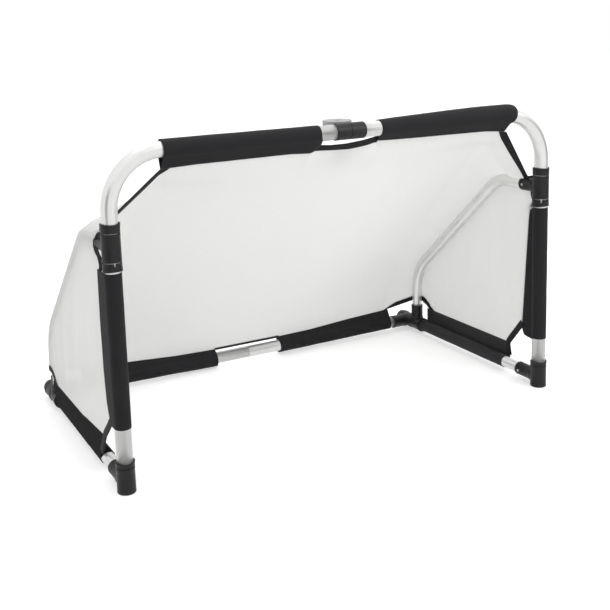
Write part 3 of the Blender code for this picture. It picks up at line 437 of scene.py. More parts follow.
class Blank:
    """A mesh in the making. bmesh operators shape it, and piece() makes it a piece of the goal."""

    def __init__(self, name: str) -> None:
        """Starts an empty mesh.

        Args:
            name: the name of the piece.
        """
        self.name = name
        self.bm = bmesh.new()
        self.order = self.bm.verts.layers.int.new("order")
        self.around = self.bm.verts.layers.float.new("around")
        self.run = self.bm.verts.layers.float.new("run")

    def spun(
        self, profile: Profile, segments: int = 64, ring: bool = False, sweep: float = 2 * pi
    ) -> "Blank":
        """Spins a profile about local Z.

        Args:
            profile: points (radius, height).
            segments: steps of a full turn.
            ring: True where the last point joins the first.
            sweep: the angle turned through, whose open ends are closed with a face each.

        Returns:
            This blank.
        """
        bm = self.bm
        verts = [bm.verts.new((radius, 0.0, height)) for radius, height in profile]
        pairs = list(zip(verts, verts[1:]))
        if ring:
            pairs.append((verts[-1], verts[0]))
        edges = [bm.edges.new(pair) for pair in pairs]
        whole = sweep > 2 * pi - 1e-6
        geometry = [*verts, *edges]
        if not whole and ring:
            geometry.append(bm.faces.new(verts))
        steps = max(3, round(segments * sweep / (2 * pi)))
        bmesh.ops.spin(
            bm, geom=geometry, cent=(0, 0, 0), axis=(0, 0, 1), angle=sweep, steps=steps,
            use_merge=whole
        )
        bmesh.ops.remove_doubles(bm, verts=bm.verts, dist=1e-6)
        bmesh.ops.recalc_face_normals(bm, faces=bm.faces)
        return self

    def lofted(
        self,
        frames: Sequence[Matrix],
        outline: Union[Profile, Callable[[int], Profile]],
        closed: bool = True,
        capped: bool = False,
    ) -> "Blank":
        """Extrudes the edges of an outline from frame to frame.

        Args:
            frames: a matrix for each place along the piece.
            outline: the outline in the plane of a frame, or a function that gives it for each
                frame.
            closed: True where the outline is a ring.
            capped: True where both ends get a face.

        Returns:
            This blank, marked for a UV map in metres.
        """
        bm = self.bm
        shape = outline if callable(outline) else (lambda index: outline)
        first = shape(0)
        verts = [bm.verts.new(frames[0] @ Vector((*point, 0.0))) for point in first]
        girth = 0.0
        for index, vert in enumerate(verts):
            if index:
                girth += hypot(
                    first[index][0] - first[index - 1][0], first[index][1] - first[index - 1][1]
                )
            vert[self.order] = index
            vert[self.around] = girth
        pairs = list(zip(verts, verts[1:]))
        if closed:
            girth += hypot(first[0][0] - first[-1][0], first[0][1] - first[-1][1])
            pairs.append((verts[-1], verts[0]))
        edges = [bm.edges.new(pair) for pair in pairs]
        if capped:
            bm.faces.new(verts)
        gone = 0.0
        for index in range(1, len(frames)):
            gone += (frames[index].translation - frames[index - 1].translation).length
            made = bmesh.ops.extrude_edge_only(bm, edges=edges)["geom"]
            fresh = {item for item in made if isinstance(item, bmesh.types.BMVert)}
            edges = [
                e for e in made if isinstance(e, bmesh.types.BMEdge) and set(e.verts) <= fresh
            ]
            points = shape(index)
            for vert in fresh:
                vert.co = frames[index] @ Vector((*points[vert[self.order]], 0.0))
                vert[self.run] = gone
        if capped:
            bmesh.ops.holes_fill(bm, edges=edges, sides=0)
        bmesh.ops.recalc_face_normals(bm, faces=bm.faces)
        self.lay_map(girth if closed else 0.0)
        return self

    def lay_map(self, girth: float) -> None:
        """Turns the marks into a UV map in metres, U round the piece and V along it.

        Args:
            girth: the length of a closed outline, or 0 for an open one.
        """
        layer = self.bm.loops.layers.uv.get("UVMap") or self.bm.loops.layers.uv.new("UVMap")
        for face in self.bm.faces:
            spots = [loop.vert[self.around] for loop in face.loops]
            wraps = girth > 0.0 and max(spots) - min(spots) > girth / 2
            for loop, spot in zip(face.loops, spots):
                past = girth if wraps and spot < girth / 2 else 0.0
                loop[layer].uv = (spot + past, loop.vert[self.run])

    def woven(self, columns: int, rows: int, point: Callable[[float, float], Vector]) -> "Blank":
        """A sheet of cloth from a grid.

        Args:
            columns: squares across.
            rows: squares down.
            point: gives the place of each crossing from its two shares, 0 to 1.

        Returns:
            This blank, with a UV map in metres.
        """
        bm = self.bm
        bmesh.ops.create_grid(bm, x_segments=columns, y_segments=rows, size=0.5)
        for vert in bm.verts:
            across = round((vert.co.x + 0.5) * columns)
            down = round((vert.co.y + 0.5) * rows)
            vert[self.order] = down * (columns + 1) + across
            vert.co = point(across / columns, down / rows)
        places = {vert[self.order]: vert for vert in bm.verts}
        for down in range(rows + 1):
            total = 0.0
            for across in range(columns + 1):
                vert = places[down * (columns + 1) + across]
                if across:
                    total += (vert.co - places[vert[self.order] - 1].co).length
                vert[self.around] = total
        for across in range(columns + 1):
            total = 0.0
            for down in range(rows + 1):
                vert = places[down * (columns + 1) + across]
                if down:
                    total += (vert.co - places[vert[self.order] - columns - 1].co).length
                vert[self.run] = total
        bmesh.ops.recalc_face_normals(bm, faces=bm.faces)
        self.lay_map(0.0)
        return self

    def moved(self, matrix: Matrix) -> "Blank":
        """Turns and moves the whole mesh."""
        bmesh.ops.transform(self.bm, matrix=matrix, verts=self.bm.verts)
        return self

    def softened(self, width: float, segments: int = 2, angle: float = 40.0) -> "Blank":
        """Rounds the sharp edges.

        Args:
            width: how far the rounding reaches from an edge.
            segments: faces across the rounding.
            angle: the least angle between two faces of a sharp edge, in degrees.

        Returns:
            This blank.
        """
        limit = radians(angle)
        sharp = [e for e in self.bm.edges if e.is_manifold and e.calc_face_angle(0.0) > limit]
        bmesh.ops.bevel(
            self.bm,
            geom=sharp,
            offset=width,
            offset_type="OFFSET",
            segments=segments,
            profile=0.5,
            affect="EDGES",
            clamp_overlap=True,
            material=-1,
        )
        return self

    def shaped(self, shift: Callable[[Vector], Vector]) -> "Blank":
        """Moves each point to the place that a function gives for it."""
        for vert in self.bm.verts:
            vert.co = shift(vert.co.copy())
        return self

    def carved(self, tools: Sequence[Tuple[str, "Blank"]]) -> "Blank":
        """Joins other blanks to this one or cuts them out of it.

        Args:
            tools: pairs of UNION or DIFFERENCE and the other blank, which is used up.

        Returns:
            This blank.
        """
        body = self.loose()
        helpers = [body]
        for operation, tool in tools:
            helper = tool.loose()
            helpers.append(helper)
            modifier = body.modifiers.new(tool.name, "BOOLEAN")
            modifier.operation = operation
            modifier.solver = "EXACT"
            modifier.object = helper
        bpy.context.view_layer.update()
        graph = bpy.context.evaluated_depsgraph_get()
        mesh = bpy.data.meshes.new_from_object(body.evaluated_get(graph))
        self.bm = bmesh.new()
        self.bm.from_mesh(mesh)
        bmesh.ops.remove_doubles(self.bm, verts=self.bm.verts, dist=1e-5)
        bmesh.ops.dissolve_degenerate(self.bm, edges=self.bm.edges, dist=1e-5)
        bpy.data.meshes.remove(mesh)
        for helper in helpers:
            bpy.data.objects.remove(helper, do_unlink=True)
        return self

    def loose(self) -> bpy.types.Object:
        """The blank as an object of its own, with no material yet."""
        mesh = bpy.data.meshes.new(self.name)
        self.bm.to_mesh(mesh)
        self.bm.free()
        obj = bpy.data.objects.new(self.name, mesh)
        bpy.context.scene.collection.objects.link(obj)
        return obj

    def piece(
        self,
        finish: bpy.types.Material,
        slot: Slot,
        replaces: Sequence[str] = (),
        thickness: float = 0.0,
        angle: float = 38.0,
    ) -> bpy.types.Object:
        """Makes the blank a finished piece.

        Args:
            finish: its material.
            slot: the record's slot that the material belongs to.
            replaces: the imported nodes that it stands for.
            thickness: the thickness that Solidify gives it, half to each side.
            angle: edges sharper than this stay sharp, in degrees.

        Returns:
            The new object, which still has to ride on a body.
        """
        obj = self.loose()
        obj.data.shade_smooth()
        obj.data.set_sharp_from_angle(angle=radians(angle))
        obj.data.materials.append(finish)
        if thickness > 0.0:
            shell = obj.modifiers.new("thickness", "SOLIDIFY")
            shell.thickness = thickness
            shell.offset = 0.0
            shell.use_even_offset = True
            made = bpy.data.meshes.new_from_object(
                obj.evaluated_get(bpy.context.evaluated_depsgraph_get())
            )
            obj.modifiers.clear()
            obj.data = made
            made.set_sharp_from_angle(angle=radians(angle))
        if replaces:
            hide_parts(*replaces)
        LOG.info("%s: %d points", obj.name, len(obj.data.vertices))
        return obj


class Wire:
    """A socket in a node tree, on which arithmetic adds Math nodes."""

    def __init__(self, recipe: "Recipe", socket: bpy.types.NodeSocket) -> None:
        """Wraps a socket.

        Args:
            recipe: the node tree's builder.
            socket: an output socket of one of its nodes.
        """
        self.recipe = recipe
        self.socket = socket

    def maths(self, operation: str, *values: Union["Wire", float]) -> "Wire":
        """Adds one Math node on the given values."""
        return self.recipe.node(
            "ShaderNodeMath", {"operation": operation}, dict(enumerate(values))
        )

    def __add__(self, other: Union["Wire", float]) -> "Wire":
        """This value plus another."""
        return self.maths("ADD", self, other)

    def __radd__(self, other: float) -> "Wire":
        """A number plus this value."""
        return self.maths("ADD", other, self)

    def __sub__(self, other: Union["Wire", float]) -> "Wire":
        """This value less another."""
        return self.maths("SUBTRACT", self, other)

    def __rsub__(self, other: float) -> "Wire":
        """A number less this value."""
        return self.maths("SUBTRACT", other, self)

    def __mul__(self, other: Union["Wire", float]) -> "Wire":
        """This value times another."""
        return self.maths("MULTIPLY", self, other)

    def __rmul__(self, other: float) -> "Wire":
        """A number times this value."""
        return self.maths("MULTIPLY", other, self)

    def __gt__(self, other: Union["Wire", float]) -> "Wire":
        """1 where this value is above another, else 0."""
        return self.maths("GREATER_THAN", self, other)

    def __lt__(self, other: Union["Wire", float]) -> "Wire":
        """1 where this value is below another, else 0."""
        return self.maths("LESS_THAN", self, other)

    def wave(self) -> "Wire":
        """The sine of this value, brought to 0..1."""
        return self.maths("SINE", self) * 0.5 + 0.5

    def size(self) -> "Wire":
        """This value without its sign."""
        return self.maths("ABSOLUTE", self)

    def folded(self, pitch: float) -> "Wire":
        """A zigzag from 0 to half the pitch and back along this value."""
        return self.maths("PINGPONG", self, pitch / 2)

    def step(self, low: float, high: float) -> "Wire":
        """0 below low, 1 above high and a smooth rise between them."""
        settings = {"interpolation_type": "SMOOTHSTEP"}
        return self.recipe.node("ShaderNodeMapRange", settings, {0: self, 1: low, 2: high})


class Recipe:
    """The node tree of one material, with a Principled shader at its end."""

    def __init__(self, name: str) -> None:
        """Starts the material.

        Args:
            name: the name of the material.
        """
        self.material = bpy.data.materials.new(name)
        self.material.use_nodes = True
        self.tree = self.material.node_tree
        self.shader = self.tree.nodes["Principled BSDF"]
        self.places: Dict[str, Wire] = {}

    def node(
        self,
        kind: str,
        settings: Dict[str, object],
        inputs: Dict[Union[int, str], object],
        output: Union[int, str] = 0,
    ) -> Wire:
        """Adds a node.

        Args:
            kind: the node's type.
            settings: its properties, set before its sockets.
            inputs: a value or a wire for each named or numbered socket.
            output: which of its outputs is wanted.

        Returns:
            The wire at that output.
        """
        made = self.tree.nodes.new(kind)
        for key, value in settings.items():
            setattr(made, key, value)
        for key, value in inputs.items():
            if isinstance(value, Wire):
                self.tree.links.new(value.socket, made.inputs[key])
            else:
                made.inputs[key].default_value = value
        return Wire(self, made.outputs[output])

    def place(self, kind: str) -> Wire:
        """The Object or UV coordinates."""
        if kind not in self.places:
            self.places[kind] = self.node("ShaderNodeTexCoord", {}, {}, kind)
        return self.places[kind]

    def axes(self, kind: str) -> Tuple[Wire, Wire, Wire]:
        """The three numbers of a set of coordinates."""
        split = self.node("ShaderNodeSeparateXYZ", {}, {0: self.place(kind)})
        outputs = split.socket.node.outputs
        return Wire(self, outputs[0]), Wire(self, outputs[1]), Wire(self, outputs[2])

    def grain(
        self, kind: str, scale: Tuple[float, float, float], detail: float = 2.0, rough: float = 0.5
    ) -> Wire:
        """Noise on coordinates.

        Args:
            kind: Object or UV.
            scale: how often it changes in a metre along each axis.
            detail: how many finer layers it has.
            rough: how strong the finer layers are.

        Returns:
            The noise, about 0.5 on average.
        """
        spots = self.node("ShaderNodeMapping", {}, {"Vector": self.place(kind), "Scale": scale})
        inputs = {"Vector": spots, "Scale": 1.0, "Detail": detail, "Roughness": rough}
        return self.node("ShaderNodeTexNoise", {}, inputs)

    def blend(self, share: Union[Wire, float], first: object, second: object) -> Wire:
        """Mixes two colours, each an RGB tuple or a wire."""
        ends = {6: first if isinstance(first, Wire) else (*first, 1.0)}
        ends[7] = second if isinstance(second, Wire) else (*second, 1.0)
        return self.node("ShaderNodeMix", {"data_type": "RGBA"}, {0: share, **ends}, 2)

    def link(self, socket: str, wire: Wire) -> None:
        """Links a wire to the shader."""
        self.tree.links.new(wire.socket, self.shader.inputs[socket])

    def set(self, **values: object) -> None:
        """Sets plain values on the shader's sockets, named with _ for a space."""
        for key, value in values.items():
            self.shader.inputs[key.replace("_", " ")].default_value = value

    def finish(self, shader: Wire) -> None:
        """Puts another shader at the end of the tree."""
        output = next(node for node in self.tree.nodes if node.type == "OUTPUT_MATERIAL")
        self.tree.links.new(shader.socket, output.inputs["Surface"])

    def relief(self, height: Wire, distance: float, strength: float = 1.0) -> None:
        """Bumps the surface.

        Args:
            height: the height, from 0 to 1.
            distance: the height in metres that 1 stands for.
            strength: how much of it shows.
        """
        inputs = {"Strength": strength, "Distance": distance, "Height": height}
        self.link("Normal", self.node("ShaderNodeBump", {}, inputs))


def tinted(colour: Colour, share: float) -> Colour:
    """A colour made darker or lighter by a factor."""
    return tuple(min(1.0, channel * share) for channel in colour)


@dataclass(frozen=True)
class SatinAluminium:
    """Drawn aluminium tube with a satin skin and fine lines along it."""

    colour: Colour = (0.84, 0.84, 0.83)
    roughness: float = 0.30

    def material(self) -> bpy.types.Material:
        """Builds the material on the tube's own UV map."""
        recipe = Recipe("satin_aluminium")
        lines = recipe.grain("UV", (900.0, 5.0, 1.0), 3.0, 0.6)
        bands = recipe.grain("UV", (70.0, 0.8, 1.0), 1.0)
        cloud = recipe.grain("Object", (9.0, 9.0, 9.0), 3.0)
        tone = (
            lines.step(0.25, 0.75) * 0.45 + bands.step(0.3, 0.7) * 0.35 + cloud.step(0.3, 0.7) * 0.2
        )
        recipe.link(
            "Base Color", recipe.blend(tone, tinted(self.colour, 0.86), tinted(self.colour, 1.06))
        )
        recipe.link("Roughness", lines * 0.16 + cloud * 0.10 + (self.roughness - 0.13))
        recipe.relief(lines, 0.00004)
        recipe.set(Metallic=0.65)
        return recipe.material


@dataclass(frozen=True)
class MouldedPlastic:
    """Black moulded plastic with a fine spark texture and rubbed edges."""

    colour: Colour = (0.011, 0.011, 0.012)
    roughness: float = 0.42

    def material(self) -> bpy.types.Material:
        """Builds the material on Object coordinates."""
        recipe = Recipe("moulded_black_plastic")
        spark = recipe.grain("Object", (1500.0, 1500.0, 1500.0), 2.0, 0.6)
        cloud = recipe.grain("Object", (28.0, 28.0, 28.0), 4.0, 0.6)
        edges = recipe.node("ShaderNodeNewGeometry", {}, {}, "Pointiness").step(0.515, 0.60)
        rubbed = edges * cloud.step(0.35, 0.75)
        worn = recipe.blend(rubbed, self.colour, tinted(self.colour, 3.2))
        recipe.link("Base Color", recipe.blend(cloud * 0.5, worn, tinted(self.colour, 1.5)))
        recipe.link(
            "Roughness", spark * 0.10 + cloud * 0.16 + rubbed * 0.12 + (self.roughness - 0.13)
        )
        recipe.relief(spark, 0.00006, 0.7)
        recipe.set(Specular_IOR_Level=0.30)
        return recipe.material


@dataclass(frozen=True)
class WovenPolyester:
    """Black woven polyester with a plain weave and lines of stitches."""

    name: str = "black_woven_polyester"
    colour: Colour = (0.014, 0.014, 0.0155)
    pitch: float = 0.0009
    stitches: Tuple[float, ...] = ()
    stitch_length: float = 0.0036
    shine: float = 0.22

    def material(self) -> bpy.types.Material:
        """Builds the material on the sleeve's own UV map.

        Returns:
            The material, with a line of stitches along the sleeve at each given place round it.
        """
        recipe = Recipe(self.name)
        across, run, _ = recipe.axes("UV")
        turn = 2 * pi / self.pitch
        warp = (across * turn).wave()
        weft = (run * turn).wave()
        checks = (across * (turn / 2)).maths("SINE", across * (turn / 2)) * (
            run * (turn / 2)
        ).maths(
            "SINE", run * (turn / 2)
        )
        weave = warp * (checks > 0.0) + weft * (checks < 0.0)
        slub = recipe.grain("UV", (60.0, 420.0, 1.0), 3.0, 0.6)
        cloud = recipe.grain("Object", (14.0, 14.0, 14.0), 3.0, 0.6)
        tone = weave * 0.35 + slub * 0.35 + cloud * 0.5
        cloth = recipe.blend(tone, tinted(self.colour, 0.62), tinted(self.colour, 1.55))
        height = weave * 0.6 + slub * 0.4
        if self.stitches:
            gap = (run.folded(self.stitch_length) - 0.00045).step(0.0, 0.0003)
            sewn: Optional[Wire] = None
            for spot in self.stitches:
                line = 1.0 - (across - spot).size().step(0.00035, 0.00065)
                sewn = line if sewn is None else sewn + line
            thread = sewn * gap
            cloth = recipe.blend(thread * 0.7, cloth, tinted(self.colour, 2.6))
            height = height + thread * 4.0 - sewn * 2.0
        recipe.link("Base Color", cloth)
        recipe.link("Roughness", slub * 0.12 + 0.76)
        recipe.relief(height, 0.00014, 0.9)
        recipe.set(
            Sheen_Weight=self.shine * 0.18, Sheen_Roughness=0.5, Specular_IOR_Level=self.shine
        )
        return recipe.material


@dataclass(frozen=True)
class BindingTape:
    """Black ribbed binding tape, sewn along both edges."""

    colour: Colour = (0.012, 0.012, 0.013)
    seam: float = 0.0030

    def material(self) -> bpy.types.Material:
        """Builds the material on the tape's own UV map."""
        recipe = Recipe("black_binding_tape")
        across, run, _ = recipe.axes("UV")
        ribs = (run * (2 * pi / 0.0011)).wave()
        slub = recipe.grain("UV", (300.0, 500.0, 1.0), 2.0, 0.6)
        cloud = recipe.grain("Object", (20.0, 20.0, 20.0), 3.0, 0.6)
        tone = ribs * 0.3 + slub * 0.4 + cloud * 0.4
        line = 1.0 - (across.size() - self.seam).size().step(0.0003, 0.0006)
        gap = (run.folded(0.003) - 0.0004).step(0.0, 0.0003)
        cloth = recipe.blend(tone, tinted(self.colour, 0.7), tinted(self.colour, 1.6))
        recipe.link("Base Color", recipe.blend(line * gap * 0.6, cloth, tinted(self.colour, 2.4)))
        recipe.link("Roughness", slub * 0.15 + 0.70)
        recipe.relief(ribs * 0.7 + slub * 0.3 + line * gap * 2.0, 0.00016, 0.9)
        recipe.set(Sheen_Weight=0.04, Specular_IOR_Level=0.22)
        return recipe.material


@dataclass(frozen=True)
class KnitNet:
    """White fine warp knit with small open meshes, through which the tubes show faintly."""

    name: str = "white_knit_net"
    colour: Colour = (0.93, 0.93, 0.92)
    wale: float = 0.0026
    course: float = 0.0030
    thread: float = 0.945
    hole: float = 0.56
    through: float = 0.45

    def material(self) -> bpy.types.Material:
        """Builds the material on the net's own UV map."""
        recipe = Recipe(self.name)
        across, run, _ = recipe.axes("UV")
        first = across * (pi / self.wale) + run * (pi / self.course)
        second = across * (pi / self.wale) - run * (pi / self.course)
        meshes = first.maths("SINE", first).size() * second.maths("SINE", second).size()
        open_mesh = meshes.step(0.34, 0.62)
        slub = recipe.grain("UV", (220.0, 40.0, 1.0), 3.0, 0.6)
        cloud = recipe.grain("Object", (5.0, 5.0, 5.0), 3.0, 0.5)
        tone = slub * 0.5 + cloud * 0.5
        recipe.link(
            "Base Color", recipe.blend(tone, tinted(self.colour, 0.955), tinted(self.colour, 1.03))
        )
        recipe.link("Roughness", slub * 0.1 + 0.78)
        recipe.relief((1.0 - open_mesh) * 0.8 + slub * 0.2, 0.0002, 0.6)
        recipe.set(Specular_IOR_Level=0.25)
        cover = self.thread - open_mesh * (self.thread - self.hole) + slub * 0.10 - 0.05
        shine = recipe.node("ShaderNodeBsdfTranslucent", {}, {"Color": (*self.colour, 1.0)})
        front = Wire(recipe, recipe.shader.outputs[0])
        cloth = recipe.node("ShaderNodeMixShader", {}, {0: self.through, 1: front, 2: shine})
        holes = recipe.node("ShaderNodeBsdfTransparent", {}, {})
        recipe.finish(recipe.node("ShaderNodeMixShader", {}, {0: cover, 1: holes, 2: cloth}))
        return recipe.material


@dataclass(frozen=True)
class CoverDisc:
    """Pale satin disc over the hinge, turned on its top face."""

    colour: Colour = (0.40, 0.40, 0.40)
    centre: Tuple[float, float, float] = (0.0, -0.34655, 1.0)

    def material(self) -> bpy.types.Material:
        """Builds the material with turning rings about the hinge's axis."""
        recipe = Recipe("pale_hinge_disc")
        back = tuple(-value for value in self.centre)
        spots = recipe.node(
            "ShaderNodeMapping", {}, {"Vector": recipe.place("Object"), "Location": back}
        )
        flat = recipe.node(
            "ShaderNodeVectorMath", {"operation": "MULTIPLY"}, {0: spots, 1: (1.0, 1.0, 0.0)}
        )
        reach = recipe.node("ShaderNodeVectorMath", {"operation": "LENGTH"}, {0: flat}, "Value")
        rings = (reach * (2 * pi / 0.0009)).wave()
        cloud = recipe.grain("Object", (60.0, 60.0, 60.0), 3.0, 0.6)
        tone = rings * 0.35 + cloud * 0.65
        recipe.link(
            "Base Color", recipe.blend(tone, tinted(self.colour, 0.88), tinted(self.colour, 1.10))
        )
        recipe.link("Roughness", rings * 0.08 + cloud * 0.14 + 0.30)
        recipe.relief(rings, 0.00002, 0.8)
        recipe.set(Metallic=0.35)
        return recipe.material


@dataclass(frozen=True)
class PlatedSteel:
    """Bright plated steel of the rivets and the hinge's bolt."""

    colour: Colour = (0.66, 0.66, 0.65)

    def material(self) -> bpy.types.Material:
        """Builds the material on Object coordinates."""
        recipe = Recipe("plated_steel")
        scratches = recipe.grain("Object", (400.0, 400.0, 1600.0), 3.0, 0.7)
        cloud = recipe.grain("Object", (90.0, 90.0, 90.0), 3.0, 0.6)
        recipe.link(
            "Base Color", recipe.blend(cloud, tinted(self.colour, 0.8), tinted(self.colour, 1.15))
        )
        recipe.link("Roughness", scratches * 0.20 + 0.16)
        recipe.relief(scratches, 0.00003, 0.8)
        recipe.set(Metallic=1.0)
        return recipe.material


@dataclass
class Finishes:
    """The materials that the goal's pieces share, each made once; each sleeve makes its own cloth.
    """

    tube: bpy.types.Material = field(default_factory=lambda: SatinAluminium().material())
    plastic: bpy.types.Material = field(default_factory=lambda: MouldedPlastic().material())
    tape: bpy.types.Material = field(default_factory=lambda: BindingTape().material())
    disc: bpy.types.Material = field(default_factory=lambda: CoverDisc().material())
    steel: bpy.types.Material = field(default_factory=lambda: PlatedSteel().material())
    net: bpy.types.Material = field(default_factory=lambda: KnitNet().material())


@dataclass
class RoundTube:
    """A bent aluminium tube."""

    name: str
    path: List[Vector]
    radius: float
    facing: Vector
    wall: float
    sides: int = 48

    def build(self, finishes: Finishes) -> bpy.types.Object:
        """Makes the tube with its wall.

        Args:
            finishes: the goal's materials.

        Returns:
            The tube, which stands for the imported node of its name.
        """
        ring = arc(self.radius, 0.0, 2 * pi * (self.sides - 1) / self.sides, self.sides - 1)
        blank = Blank(self.name + "_skin").lofted(stations(self.path, [self.facing]), ring)
        tube = blank.piece(finishes.tube, Slot.TUBE, [self.name], angle=60.0)
        shell = tube.modifiers.new("wall", "SOLIDIFY")
        shell.thickness = self.wall
        shell.offset = -1.0
        return tube


@dataclass
class Collar:
    """A black collar on a post, with one wavy edge and, on some, a notch in the other."""

    name: str
    side: Side
    bottom: float
    height: float
    wave: float
    waves_up: bool
    notch: Optional[float] = None
    radius: float = 0.0280
    flare: float = 0.0010
    notch_width: float = 0.0038
    notch_depth: float = 0.0105

    def build(self, finishes: Finishes) -> bpy.types.Object:
        """Makes the collar.

        Args:
            finishes: the goal's materials.

        Returns:
            The collar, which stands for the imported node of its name.
        """
        inner = M.front_bore
        low = self.height - self.wave
        round_off = 0.0008
        profile = [
            (inner, 0.0),
            (self.radius - round_off, 0.0),
            (self.radius, round_off),
            (self.radius, low * 0.45),
            (self.radius + 0.0002, low * 0.5),
            (self.radius + 0.0002, low - round_off),
            (self.radius - round_off * 0.4, low - round_off * 0.3),
            (self.radius - round_off * 1.4, low),
            (inner, low),
        ]
        blank = Blank(self.name + "_ring").spun(profile, 96, ring=True)
        blank.shaped(self.waved)
        base = M.spot(self.side.sign * M.post_x, 0.0, self.bottom)
        if self.waves_up:
            blank.moved(Matrix.Translation(base))
        else:
            lift = Matrix.Translation((0.0, 0.0, self.height))
            blank.moved(Matrix.Translation(base) @ lift @ Matrix.Rotation(pi, 4, "Y"))
        if self.notch is not None:
            cut = Blank(self.name + "_notch")
            size = Matrix.Diagonal((self.notch_width, 0.012, 2 * self.notch_depth, 1.0))
            bmesh.ops.create_cube(
                cut.bm, size=1.0,
                matrix=Matrix.Translation((0.0, -self.radius, self.height)) @ size
            )
            cut.moved(Matrix.Translation(base) @ Matrix.Rotation(self.notch, 4, "Z"))
            blank.carved([("DIFFERENCE", cut)])
        return blank.piece(finishes.plastic, Slot.PLASTIC, [self.name])

    def waved(self, place: Vector) -> Vector:
        """Lifts the upper edge into two lobes.

        Args:
            place: a point of the plain ring.

        Returns:
            Its place on the wavy ring.
        """
        reach = hypot(place.x, place.y)
        lobe = abs(place.x) / reach
        rise = ease(place.z, self.height * 0.4, self.height - self.wave)
        flare = (
            1.0 + self.flare / self.radius * lobe * rise if reach > M.front_bore + 0.001 else 1.0
        )
        return Vector((place.x * flare, place.y, place.z + self.wave * lobe * lobe * rise))


@dataclass
class Rivet:
    """A dome-headed rivet on the inner side of a tee's branch."""

    name: str
    side: Side
    depth: float
    height: float
    skin: float = 0.0241
    head_radius: float = 0.0042
    head_height: float = 0.0018
    dimple: float = 0.0012

    def build(self, finishes: Finishes) -> bpy.types.Object:
        """Makes the rivet with the dimple of its pulled stem.

        Args:
            finishes: the goal's materials.

        Returns:
            The rivet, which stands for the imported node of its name.
        """
        dome = [
            (self.head_radius * sin(angle), self.skin + self.head_height * cos(angle))
            for angle in [pi / 2 * k / 10 for k in range(4, 11)]
        ]
        rim = self.dimple + 0.0003
        top = self.skin + self.head_height
        profile = [
            (0.0, top - 0.0009),
            (self.dimple, top - 0.0009),
            (rim, top - 0.0001),
            *dome,
            (self.head_radius, self.skin - 0.0003),
            (0.0021, self.skin - 0.0003),
            (0.0021, 0.0170),
            (0.0, 0.0170),
        ]
        root = M.spot(self.side.sign * M.post_x, self.depth, self.height)
        blank = Blank(self.name + "_head").spun(profile, 32)
        blank.moved(Matrix.Translation(root) @ sideways(-self.side.sign))
        return blank.piece(finishes.steel, Slot.STEEL, [self.name])


@dataclass
class MouldedTee:
    """A moulded tee: a barrel with raised rims, one branch and their bores."""

    name: str
    base: Vector
    turn: Matrix
    length: float
    radius: float
    rim: float
    root: Vector
    branch_turn: Matrix
    reach: float
    bore: float
    floor: float = 0.0
    socket: float = M.side_bore
    rim_height: float = 0.007
    branch_radius: float = 0.0237
    branch_rim: float = 0.0241
    branch_rim_length: float = 0.006
    slope: float = 0.0012
    edge: float = 0.0007

    def run_profile(self) -> Profile:
        """The barrel's outline with rounded rims, and a rounded foot where it has a floor."""
        top, rim, edge = self.length, self.rim, self.edge
        foot = 0.0035 if self.floor else edge
        corner = [(rim - foot + x, foot + y) for x, y in arc(foot, 0.0, -pi / 2, 6)]
        return [
            (0.0, top),
            (rim - edge, top),
            (rim - edge * 0.3, top - edge * 0.3),
            (rim, top - edge),
            (rim, top - self.rim_height),
            (self.radius, top - self.rim_height - self.slope),
            (self.radius, self.rim_height + self.slope),
            (rim, self.rim_height),
            *corner,
            (0.0, 0.0),
        ]

    def branch_profile(self) -> Profile:
        """The branch's outline, which swells a little where it leaves the barrel."""
        rim, edge, reach = self.branch_rim, self.edge, self.reach
        swell = [
            (
                self.branch_radius + 0.0022 * (1 - k / 5) ** 2, self.radius - 0.001 + 0.0012 * k
            ) for k in range(6)
        ]
        return [
            (0.0, reach),
            (rim - edge, reach),
            (rim - edge * 0.3, reach - edge * 0.3),
            (rim, reach - edge),
            (rim, reach - self.branch_rim_length),
            (self.branch_radius, reach - self.branch_rim_length - self.slope),
            *reversed(swell),
            (swell[0][0], 0.0),
            (0.0, 0.0),
        ]

    def build(self, finishes: Finishes) -> bpy.types.Object:
        """Makes the tee.

        Args:
            finishes: the goal's materials.

        Returns:
            The tee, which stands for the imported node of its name.
        """
        placed = Matrix.Translation(self.base) @ self.turn
        branch_placed = Matrix.Translation(self.root) @ self.branch_turn
        run = Blank(self.name + "_moulding").spun(self.run_profile(), 72).moved(placed)
        branch = Blank(self.name + "_branch").spun(self.branch_profile(), 64).moved(branch_placed)
        start = self.floor if self.floor else -0.01
        bore = [
            (0.0, self.length + 0.01), (self.bore, self.length + 0.01), (self.bore, start),
            (0.0, start)
        ]
        run_bore = Blank(self.name + "_run_bore").spun(bore, 72).moved(placed)
        stop = self.bore + 0.003
        mouth = self.reach + 0.01
        socket = [(0.0, mouth), (self.socket, mouth), (self.socket, stop), (0.0, stop)]
        branch_bore = Blank(self.name + "_branch_bore").spun(socket, 64).moved(branch_placed)
        run.carved([("UNION", branch), ("DIFFERENCE", run_bore), ("DIFFERENCE", branch_bore)])
        return run.piece(finishes.plastic, Slot.PLASTIC, [self.name], angle=32.0)


